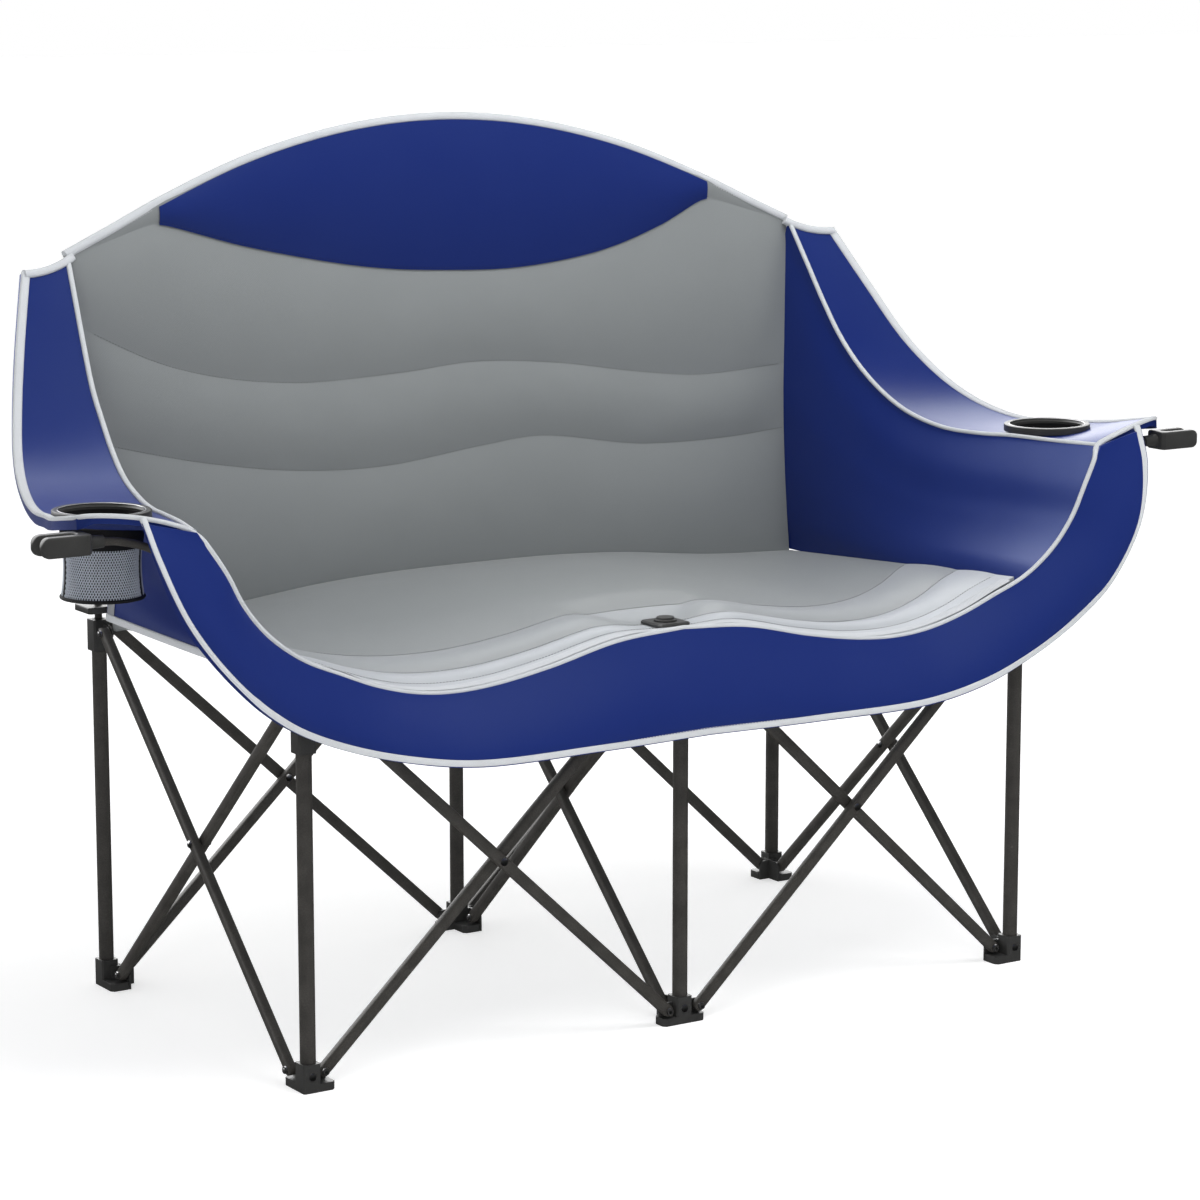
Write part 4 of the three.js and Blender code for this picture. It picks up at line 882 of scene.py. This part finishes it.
for sign, label in both_sides:
    body = "hub_front_" + label
    mesh = closed_shell("arm_cloth_" + label, placed(arm_top, sign), placed(arm_low, sign), 50)
    drill = lathed("drill", [(hole_radius, -0.05), (hole_radius, -ledge_depth), (ledge_radius, -ledge_depth),
                             (ledge_radius, 0.05)], (0, 0, 0), 64, None, 30, False)
    drill.transform(Matrix.Translation((cup_x, cup_y + shift, cup_z)) @ Matrix.Rotation(cup_tilt, 4, "Y"))
    on_side(drill, sign)
    cutter = new_object("cutter", drill)
    arm = add_piece("arm_cloth_" + label, mesh, blue_cloth, body, "arm_panel_" + label)
    hole = arm.modifiers.new("cup_hole", "BOOLEAN")
    hole.operation = "DIFFERENCE"
    hole.solver = "EXACT"
    hole.object = cutter
    bpy.context.view_layer.update()
    holed = bpy.data.meshes.new_from_object(arm.evaluated_get(bpy.context.evaluated_depsgraph_get()))
    arm.modifiers.clear()
    arm.data = smoothed(holed, 50)
    bpy.data.objects.remove(cutter)
    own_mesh(arm)
    t_line = np.linspace(0, 1, 160)
    in_line = arm_surface(np.zeros(160), t_line)
    outward = unit(arm_surface(np.full(160, 0.07), t_line) - in_line)
    piping_line = in_line - outward * 0.0005 + np.array([0, 0, 0.0005])
    bound("arm_piping_" + label, placed(piping_line, sign), outward * np.array([sign, 1, 1]),
          0.0065, 0.0055, white_tape, body, for_arm, 2.2)
    corner_line = arm_surface(np.linspace(-0.12, 1, 60), np.zeros(60)) + np.array([0, -0.001, -0.0022])
    bound("wing_top_tape_" + label, placed(corner_line, sign), (0, 0.3, 1), 0.010, 0.0095,
          white_tape, body, for_arm)

# Front fascia: a deep blue apron that bulges forward from the seat's front edge and rises at each
# end as a horn to the arm. Taped along the bottom, piped and taped along the top.
bulge, front_face = 0.053, 0.27205


def fascia_curve(shares):
    return curve([(a, -front_face - b * bulge, hub_pivot + c * soft_rise) for a, b, c in shares])


fascia_top = fascia_curve([
    (0, -0.19, 0.053), (0.09, -0.19, 0.042), (0.182, -0.19, 0.008), (0.256, -0.19, -0.012),
    (0.312, -0.19, -0.017), (0.361, -0.18, -0.009), (0.411, -0.155, 0.013), (0.46, -0.105, 0.046),
    (0.505, -0.045, 0.0785), (0.548, -0.045, 0.13), (0.5775, -0.045, 0.189), (0.597, -0.06, 0.251),
    (0.627, -0.2, 0.33)])
fascia_bottom = fascia_curve([
    (0, 0.87, -0.142), (0.15, 0.94, -0.144), (0.315, 1.01, -0.14), (0.402, 0.96, -0.116),
    (0.466, 0.76, -0.087), (0.525, 0.65, -0.047), (0.565, 0.68, -0.005), (0.602, 0.76, 0.049),
    (0.639, 0.69, 0.121), (0.665, 0.55, 0.191), (0.686, 0.2, 0.291), (0.692, -0.18, 0.356)])
horn_starts = 0.47
dense = np.linspace(0, 1, 4001)
horn_top, horn_bottom = (float(np.interp(horn_starts, edge(dense)[:, 0], dense))
                         for edge in (fascia_top, fascia_bottom))


def fascia_point(top_t, bottom_t, v):
    point = fascia_top(top_t) * (1 - v[..., None]) + fascia_bottom(bottom_t) * v[..., None]
    point[..., 1] -= 0.014 * (v + 3.2 * v * v) * (1 - v) * (1 - ease(top_t, 0.85, 1))
    return point


def fascia_pair(s, v, horn):
    if horn:
        return fascia_point(horn_top + (1 - horn_top) * s, horn_bottom + (1 - horn_bottom) * s, v)
    point = fascia_point(abs(s) * horn_top, abs(s) * horn_bottom, v)
    point[..., 0] *= np.where(s < 0, -1, 1)
    return point


for_front = ((1, 0, 0), (0, 0, 0), 0.26)
s, v = np.meshgrid(np.linspace(-1, 1, 181), np.linspace(0, 1, 25))
middle_face = fascia_pair(s, v, False)
thick, hem_fold = np.array([0, 0.0035, 0]), np.array([0, 0.010, 0])
turned_in = thick + hem_fold * ease(v, 0.93, 1)[..., None]
apron = closed_shell("fascia_cloth", placed(middle_face, 1), placed(middle_face + turned_in, 1))
cloth = add_piece("fascia_cloth", apron, blue_cloth, "hub_front_middle", "front_fascia")
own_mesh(cloth)
sections = [("middle", 1, "hub_front_middle", np.linspace(-1, 1, 200), False, for_front)]
for sign, label in both_sides:
    sections.append((label, sign, "hub_front_" + label, np.linspace(0, 1, 120), True, None))
    s, v = np.meshgrid(np.linspace(0, 1, 73), np.linspace(0, 1, 25))
    horn_face = fascia_pair(s, v, True)
    turned_in = thick + hem_fold * (ease(v, 0.93, 1) * (1 - ease(s, 0.7, 0.95)))[..., None]
    mesh = closed_shell("horn_cloth_" + label, placed(horn_face, sign), placed(horn_face + turned_in, sign))
    horn = add_piece("horn_cloth_" + label, mesh, blue_cloth, "hub_front_" + label,
                     "fascia_horn_" + label)


def evenly(line, count, *others):
    run = run_along(line)
    even = np.linspace(0, run[-1], count)
    return run, even, [np.stack([np.interp(even, run, row[:, k]) for k in range(3)], -1)
                       for row in (line, *others)]


# One tape runs along the arm's outer rim, over its front end and down the horn's inner edge. It
# narrows towards the seat.
for label, sign, body, s_line, horn, squash in sections:
    zero, one = np.zeros_like(s_line), np.ones_like(s_line)
    lower = fascia_pair(s_line, one, horn)
    up = unit(fascia_pair(s_line, one * 0.9, horn) - lower)
    mirror = np.array([sign, 1, 1])
    lower_tape = lower + up * 0.0044 + thick / 2
    if horn:
        lower_tape = np.vstack([lower_tape, lower_tape[-1:] + np.array([0.0006, 0.004, 0.005])])
        up = np.vstack([up, up[-1:]])
        turned = ease(np.linspace(0, 1, len(up)), 0.2, 0.5)[:, None]
        up = unit(up * (1 - turned) + np.array([-0.92, 0.4, 0]) * turned)
    bound("fascia_bottom_tape_" + label, placed(lower_tape, sign), up * mirror, 0.0084, 0.0052,
          white_tape, body, squash)
    upper = fascia_pair(s_line, zero, horn) + thick / 2
    if horn:
        edge, front = np.linspace(0, 1, 200), np.linspace(1, 0, 60)[1:]
        inward = unit(arm_surface(np.full(200, 0.93), edge) - arm_surface(np.ones(200), edge))
        route = np.vstack([arm_surface(np.ones(200), edge) + inward * 0.0035 - [0, 0, 0.001],
                           arm_surface(front, np.ones(59)) + [0, 0.001, 0.0005], upper[::-1][6:]])
        end_side = unit(arm_surface(front, np.full(59, 0.93)) - arm_surface(front, np.ones(59)))
        inward = np.vstack([inward, end_side, np.tile([-0.9, -0.43, 0.0], (114, 1))])
        run, even, (route, inward) = evenly(route, 420, inward)
        for _ in range(20):
            route[1:-1] = (route[:-2] + 2 * route[1:-1] + route[2:]) / 4
            inward[1:-1] = (inward[:-2] + 2 * inward[1:-1] + inward[2:]) / 4
        broad = 0.0112 - 0.0024 * ease(even, run[180], run[206]) - 0.0028 * ease(even, run[-1] - 0.1, run[-1])
        bound("arm_edge_tape_" + label, placed(route, sign), inward * mirror, broad, 0.0054,
              white_tape, body, for_arm, 2.6)
    else:
        bound("fascia_top_tape", placed(upper, 1), (0, 1, 0), 0.006, 0.0056, white_tape, body, squash, 2.2)
    rows = [placed(fascia_pair(s_line, one * 0.925, horn) - thick * 0.12, sign)]
    threads = stitched("fascia_stitches_" + label, rows, white_thread, body)
    if squash:
        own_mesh(threads)


# Side panels: single blue cloths between the seat, the arm's piping and the horn, with a white hem
# over the side bars and a grey tape up the rear pole.
hem_front, hem_rear, hem_height = seat_front_y + 0.022, depth / 2 - 0.028, hub_top + 0.0015


def side_bottom(s):
    return np.stack([np.full_like(s, 0.5), hem_front + (hem_rear - hem_front) * s,
                     np.full_like(s, hem_height)], -1)


def side_top(s):
    return arm_surface(np.zeros_like(s), 1 - s) + np.array([-0.0018, 0, -0.0014])


def side_front(t):
    along = fascia_top(0.7 + 0.3 * t) + np.array([0, 0.0042, 0])
    start = np.array([0.5, hem_front, hem_height])
    drop = (1 - ease(t, 0, 0.18))[..., None]
    blend = ease(t, 0.75, 1)[..., None]
    along = along * (1 - drop) + start * drop
    return along * (1 - blend) + side_top(np.zeros_like(t)) * blend


def side_rear(t):
    k = t[..., None]
    edge = side_bottom(np.ones_like(t)) * (1 - k) + side_top(np.ones_like(t)) * k
    rise = (edge[..., 2] - hub_pivot) / soft_rise
    sewn_on = np.stack([np.interp(rise, (0, 0.18, 0.36, 0.74), (0.4987, 0.4992, 0.504, 0.5245)),
                        back_plane(edge[..., 2]) - shift + 0.003, edge[..., 2]], -1)
    near = (ease(t, 0, 0.1) * (1 - ease(t, 0.94, 1)))[..., None]
    return edge * (1 - near) + sewn_on * near


def side_surface(s, t):
    s, t = np.broadcast_arrays(s, t)
    zero, one = np.zeros_like(s), np.ones_like(s)
    k, m = t[..., None], s[..., None]
    ruled = side_bottom(s) * (1 - k) + side_top(s) * k + side_front(t) * (1 - m) + side_rear(t) * m
    low = side_bottom(zero) * (1 - k) + side_top(zero) * k
    high = side_bottom(one) * (1 - k) + side_top(one) * k
    return ruled - low * (1 - m) - high * m


s, t = np.meshgrid(np.linspace(0, 1, 90), np.linspace(0, 1, 40))
side_in = offset(side_surface, s, t, 0.0018)
side_out = offset(side_surface, s, t, -0.0018)
for sign, label in both_sides:
    body = "hub_front_" + label
    mesh = closed_shell("side_cloth_" + label, placed(side_in, sign), placed(side_out, sign))
    panel = add_piece("side_cloth_" + label, mesh, blue_cloth, body, "side_panel_" + label)
    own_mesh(panel)
    hem = offset(side_surface, np.linspace(0, 1, 100), np.full(100, 0.012), 0.0022)
    bound("side_hem_" + label, placed(hem, sign), (0, 0, 1), 0.0095, 0.0022, white_tape, body, for_arm)
    rear = offset(side_surface, np.full(60, 0.975), np.linspace(0.01, 0.9, 60), 0.0024)
    bound("side_rear_tape_" + label, placed(rear, sign), (0, 1, 0), 0.018, 0.0012, grey_tape, body, for_arm)
    row = offset(side_surface, np.linspace(0.01, 0.99, 100), np.full(100, 0.023), 0.0034)
    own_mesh(stitched("side_stitches_" + label, [placed(row, sign)], white_thread, body))

# Rear poles and arm struts: thin powder-coated rods that slide in the posts. The poles hold up the
# back, the struts the arms' front corners.
sliding = {"front_left": "arm_strut_left", "front_right": "arm_strut_right",
           "front_middle": "stub_front_middle"}
slider_section = [(0.0056, 0.11), (0.0072, 0.11), (0.0072, hub_top - 0.0008), (0.0064, hub_top),
                  (0.0056, hub_top)]
for name in ("rear_left", "rear_middle", "rear_right", "front_left", "front_middle", "front_right"):
    x, y = posts[name]
    add_piece("slider_" + name, lathed("slider_" + name, slider_section, (x, y + shift, 0), 32),
              powder_coat, "hub_" + name, sliding.get(name, "pole_" + name))
rod_width = 0.009
clear = rod_width / 2 + fit_gap
touch = hub_pivot + 0.66 * soft_rise
set_back = back_plane(touch) - shift + 0.025 + clear - depth / 2
bend = hub_top + 0.024
tip_z = hub_pivot + 0.96 * soft_rise
tips = {"rear_middle": np.array([0, set_back * (tip_z - bend) / (touch - bend), tip_z])}
behind = offset(arm_surface, np.array(0.82), np.array(0.02), arm_thickness + clear)
for sign, label in both_sides:
    tips["rear_" + label] = np.array([sign * (behind[0] - 0.5), behind[1] - depth / 2, behind[2]])
for name, tip in tips.items():
    base = np.array([posts[name][0], posts[name][1] + shift, 0])
    knee = base + np.array([0, 0, bend])
    line = [base + np.array([0, 0, hub_top - 0.001]), knee - np.array([0, 0, 0.003])]
    lean = unit(tip - np.array([0, 0, bend]))
    line += [knee * (1 - a) ** 2 + knee * 2 * a * (1 - a) + (knee + lean * 0.003) * a * a for a in (0.5, 1.0)]
    end = base + tip
    rod = swept("rod", line + [end], (1, 0, 0), rod_width, rod_width, 24)
    add_piece("rod_" + name, rod, powder_coat, "hub_" + name)
    cap = [end + lean * far for far in (-0.018, -0.0178, 0.0005, 0.003, 0.004)]
    wide = np.array([0.0098, 0.0112, 0.0112, 0.009, 0.003])
    add_piece("rod_end_" + name, swept("rod_end", cap, (1, 0, 0), wide, wide, 24, 2.0, 60),
              black_plastic, "hub_" + name)
strut = [(0.515, 0.05, 0.037), (0.545, 0.13, 0.062), (0.575, 0.17, 0.107), (0.605, 0.2, 0.178),
         (0.635, 0.26, 0.254), (0.668, 0.38, 0.3), (0.705, 0.48, 0.319), (0.738, 0.5, 0.322)]
strut_points = [(0.5, -depth / 2, hub_top + 0.003)] + [
    (a, -depth / 2 + b * bulge, hub_pivot + c * soft_rise) for a, b, c in strut]
strut_line = curve(strut_points)(np.linspace(0, 1, 80))
strut_line = np.vstack([[0.5, -depth / 2, hub_top - 0.001], strut_line])
for sign, label in both_sides:
    rod = swept("strut", placed(strut_line, sign), (0, 1, 0), rod_width, rod_width, 20)
    add_piece("strut_" + label, rod, powder_coat, "hub_front_" + label)

# Glass clips: a thick black plastic fork on the end of each strut, open at its tip. Its corners are
# well rounded, and a collar joins it to the strut.
clip_centre = np.array([0.738 + 0.0006, 0.5 * bulge - depth / 2, hub_pivot + 0.322 * soft_rise])
slot_half, out_half, long, high_half, tip_round, nose = 0.006, 0.017, 0.062, 0.0114, 0.0055, 0.010
arc = np.linspace(-np.pi / 2, np.pi / 2, 13)
prong = (out_half + slot_half) / 2
plan = [(0.0, -out_half + 0.004), (0.004, -out_half)]
plan += [(long - tip_round + tip_round * math.cos(a), -prong + tip_round * math.sin(a)) for a in arc]
plan += [(0.016 + slot_half - slot_half * math.cos(a), slot_half * math.sin(a)) for a in arc]
plan += [(long - tip_round + tip_round * math.cos(a), prong + tip_round * math.sin(a)) for a in arc]
plan += [(0.004, out_half), (0.0, out_half - 0.004)]
for sign, label in both_sides:
    edit = bmesh.new()
    ring = [edit.verts.new((a + 0.003 * (a < 0.005), b, -high_half)) for a, b in plan]
    bottom = edit.faces.new(ring)
    grown_up = bmesh.ops.extrude_face_region(edit, geom=[bottom])
    for vert in [g for g in grown_up["geom"] if isinstance(g, bmesh.types.BMVert)]:
        vert.co.z = high_half
    bmesh.ops.recalc_face_normals(edit, faces=edit.faces)
    rims = [e for e in edit.edges if abs(e.verts[0].co.z - e.verts[1].co.z) < 1e-6]
    bmesh.ops.bevel(edit, geom=rims, offset=0.0028, segments=4, profile=0.5, affect="EDGES",
                    clamp_overlap=True)
    for k in range(10):
        bmesh.ops.bisect_plane(edit, geom=edit.verts[:] + edit.edges[:] + edit.faces[:], dist=1e-7,
                               plane_co=(long - nose * (1 - math.sin(k * math.pi / 20)), 0, 0),
                               plane_no=(1, 0, 0))
    for vert in edit.verts:
        past = min(max((vert.co.x - long) / nose + 1, 0), 0.985)
        vert.co.z *= (1 - past ** 2) ** 0.5
    bmesh.ops.triangulate(edit, faces=[f for f in edit.faces if len(f.verts) > 4])
    bmesh.ops.transform(edit, matrix=Matrix.Translation(clip_centre), verts=edit.verts)
    mesh = bpy.data.meshes.new("clip_fork")
    edit.to_mesh(mesh)
    edit.free()
    mesh.transform(Matrix.Translation((0, shift, 0)))
    on_side(mesh, sign)
    body = "hub_front_" + label
    add_piece("clip_fork_" + label, smoothed(mesh, 35), black_plastic, body,
              "glass_clip_" + label)
    run = np.array([clip_centre + np.array([d, 0, 0]) for d in (-0.016, -0.0155, -0.003, 0.0028)])
    wide = np.array([0.011, 0.0135, 0.0145, 0.0165])
    collar = swept("clip_collar", placed(run, sign), (0, 1, 0), wide, wide, 28, 2.0, 60)
    add_piece("clip_collar_" + label, collar, black_plastic, body)

# Cup holders: a black ring with a fine bright inner line, let into the armrest, and a net cup with
# black tape round its top, its foot and down its sides.
net, given, (strand_key, cord_key) = grower(
    "net_strands", ("Strand radius", "Float", 0.0004), ("Material", "Material", None))
strands = wire(net, "GeometryNodeMeshToCurve", given["Geometry"])
section = wired(net, "GeometryNodeCurvePrimitiveCircle", {"Resolution": 4, "Radius": given["Strand radius"]})
corded = wired(net, "GeometryNodeCurveToMesh", {
    "Curve": strands.outputs[0], "Profile Curve": section.outputs[0]})
painted(net, given, corded.outputs[0])
net_cord = material("net_cord", coat, {
    "Colour": (0.34, 0.37, 0.43, 1), "Speck colour": (0.62, 0.67, 0.75, 1), "Speck scale": 300.0,
    "Roughness": 0.5}, 0.2, 0.0002, {"Sheen Weight": 0.2})
wall = spline([(0.0455, -0.010, 0), (0.0440, -0.026, 0), (0.0422, -0.0506, 0), (0.0430, -0.074, 0),
               (0.0452, -0.0915, 0)])
lined = [(r, z) for r, z, _ in wall[20::8]]


def hoop(r, z, thick, sides):
    return [(r + thick * math.cos(a), z + thick * math.sin(a))
            for a in np.linspace(0, 2 * np.pi, sides, endpoint=False)]


cup_parts = (
    ("rim", 96, True, black_plastic, "black_plastic", "cup_ring_", [
        (0.046, -0.010), (0.0488, -0.010), (0.0488, -0.003), (0.0546, -0.003), (0.055, -0.0024),
        (0.055, 0.0044), (0.0545, 0.0055), (0.0532, 0.006), (0.0498, 0.0062), (0.0484, 0.0055),
        (0.0474, 0.0036), (0.0462, 0.0022)]),
    ("trim", 96, True, steel, None, None, hoop(0.0482, 0.0055, 0.0005, 10)),
    ("floor", 64, False, black_cloth, "black_mesh", "mesh_cup_", [
        (0.0001, -0.0915), (0.0444, -0.0915), (0.0444, -0.0902), (0.0001, -0.0902)]),
    ("band", 72, True, black_cloth, "black_mesh", None, [
        (0.0455, -0.0005), (0.0462, -0.0005), (0.0466, -0.011), (0.0462, -0.020), (0.0452, -0.029),
        (0.0446, -0.034), (0.0438, -0.034), (0.0444, -0.029), (0.0454, -0.020), (0.0458, -0.011)]),
    ("foot", 72, True, black_tape, None, None, hoop(0.0452, -0.0902, 0.0021, 12)),
    ("lining", 64, True, black_cloth, None, None,
     [(r - 0.0016, z) for r, z in lined] + [(r - 0.0024, z) for r, z in lined[::-1]]))
around, down, net_top, net_tall = 88, 20, -0.0325, 0.0575
for sign, label in both_sides:
    body = "hub_front_" + label
    turn = np.array(Matrix.Rotation(cup_tilt * sign, 3, "Y"))
    centre = np.array([sign * cup_x, cup_y + shift, cup_z])
    cup = []
    for piece, sides, closed, finish, slot, node, section in cup_parts:
        mesh = lathed("cup_" + piece, section, centre, sides, turn, 30, closed)
        cup.append(add_piece("cup_%s_%s" % (piece, label), mesh, finish, body,
                             node + label if node else ()))
    points, edges = [], []
    for j in range(down + 1):
        z = net_top - net_tall * j / down
        r = float(np.interp(-z, -wall[:, 1], wall[:, 0]))
        for i in range(around):
            a = 2 * np.pi * (i + 0.5 * (j % 2)) / around
            points.append((r * math.cos(a), r * math.sin(a), z))
    for j in range(down):
        for i in range(around):
            for k in (i + j % 2, i + j % 2 - 1):
                edges.append((j * around + i, (j + 1) * around + k % around))
    mesh = bpy.data.meshes.new("net_lines")
    mesh.from_pydata([tuple(p) for p in np.array(points) @ turn.T + centre], edges, [])
    values = {strand_key: 0.00062, cord_key: net_cord}
    cup.append(grown("cup_net_" + label, mesh, net, values, net_cord, body))
    for number, degrees in enumerate((90 - 84 * sign, 270 - 46 * sign)):
        place = math.radians(degrees)
        side = np.array([(r * math.cos(place), r * math.sin(place), z) for r, z, _ in wall[::6]])
        across = np.array([-math.sin(place), math.cos(place), 0]) @ turn.T
        cup.append(bound("cup_strip_%s_%d" % (label, number), side @ turn.T + centre, across, 0.0055, 0.002,
                         black_tape, body))
    for part in cup:
        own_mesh(part)

# Floor, light and camera. What shines mirrors only the white room behind, above the horizon, and
# the front stays dark. Three soft lamps add the shading.
floor = bpy.data.meshes.new("floor")
floor.from_pydata([(-30, -30, 0), (30, -30, 0), (30, 30, 0), (-30, 30, 0)], [], [(0, 1, 2, 3)])
ground = new_object("floor", floor)
floor_finish = bpy.data.materials.new("floor")
floor_finish.use_nodes = True
for key, value in {"Base Color": (0.8, 0.8, 0.8, 1), "Emission Color": (1, 1, 1, 1),
                   "Emission Strength": 0.55, "Roughness": 0.9}.items():
    floor_finish.node_tree.nodes["Principled BSDF"].inputs[key].default_value = value
floor.materials.append(floor_finish)
ground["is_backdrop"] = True
ground.visible_glossy = False

world = bpy.data.worlds.new("studio")
bpy.context.scene.world = world
world.use_nodes = True
tree = world.node_tree
tree.nodes.clear()
calc = maths(tree)


def ramp(value, low, high, dark, light):
    return wire(tree, "ShaderNodeMapRange", value, low, high, dark, light,
                interpolation_type="SMOOTHSTEP").outputs[0]


fill, dim, white = (wire(tree, "ShaderNodeBackground", (1, 1, 1, 1), power).outputs[0]
                    for power in (0.5, 1.0, 1.0))
looking = tree.nodes.new("ShaderNodeTexCoord").outputs["Generated"]
way = wire(tree, "ShaderNodeSeparateXYZ", looking).outputs
behind = calc("MULTIPLY_ADD", way["Z"], 0.45, calc("MULTIPLY", way["Y"], 0.9))
mirrored = calc("MULTIPLY", ramp(behind, 0.5, 0.8, 0.02, 4.0), ramp(way["Z"], -0.02, 0.1, 0.02, 1.0))
tree.links.new(mirrored, dim.node.inputs["Strength"])
path = tree.nodes.new("ShaderNodeLightPath").outputs
bounced = wire(tree, "ShaderNodeMixShader", path["Is Glossy Ray"], fill, dim).outputs[0]
seen = wire(tree, "ShaderNodeMixShader", path["Is Camera Ray"], bounced, white).outputs[0]
wire(tree, "ShaderNodeOutputWorld", seen)

for name, place, aim, size, power in (
        ("overhead", (0.3, -0.9, 3.2), (0, -0.1, 0.5), 2.4, 70),
        ("front_left", (-3.0, -3.4, 2.4), (0, 0, 0.6), 2.0, 30),
        ("right", (3.2, -1.6, 2.2), (0.2, 0, 0.6), 1.6, 12)):
    lamp = bpy.data.lights.new(name, "AREA")
    lamp.shape = "DISK"
    lamp.size = size
    lamp.energy = power
    light = new_object(name, lamp)
    light.location = place
    light.visible_glossy = False
    light.rotation_euler = (Vector(aim) - Vector(place)).to_track_quat("-Z", "Y").to_euler()

yaw, pitch = 0.574526, 0.177041
ahead = Vector((math.sin(yaw) * math.cos(pitch), math.cos(yaw) * math.cos(pitch), -math.sin(pitch)))
right = Vector((math.cos(yaw), -math.sin(yaw), 0))
up = right.cross(ahead)
lens = bpy.data.cameras.new("camera")
lens.lens = 113.68
lens.sensor_width = 36
camera = new_object("camera", lens)
camera.matrix_world = Matrix.Translation((-2.43527, -3.84540 + shift, 1.28332)) @ Matrix((
    (right.x, up.x, -ahead.x), (right.y, up.y, -ahead.y), (right.z, up.z, -ahead.z))).to_4x4()
bpy.context.scene.camera = camera
bpy.context.scene.view_settings.view_transform = "Standard"

low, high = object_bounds()
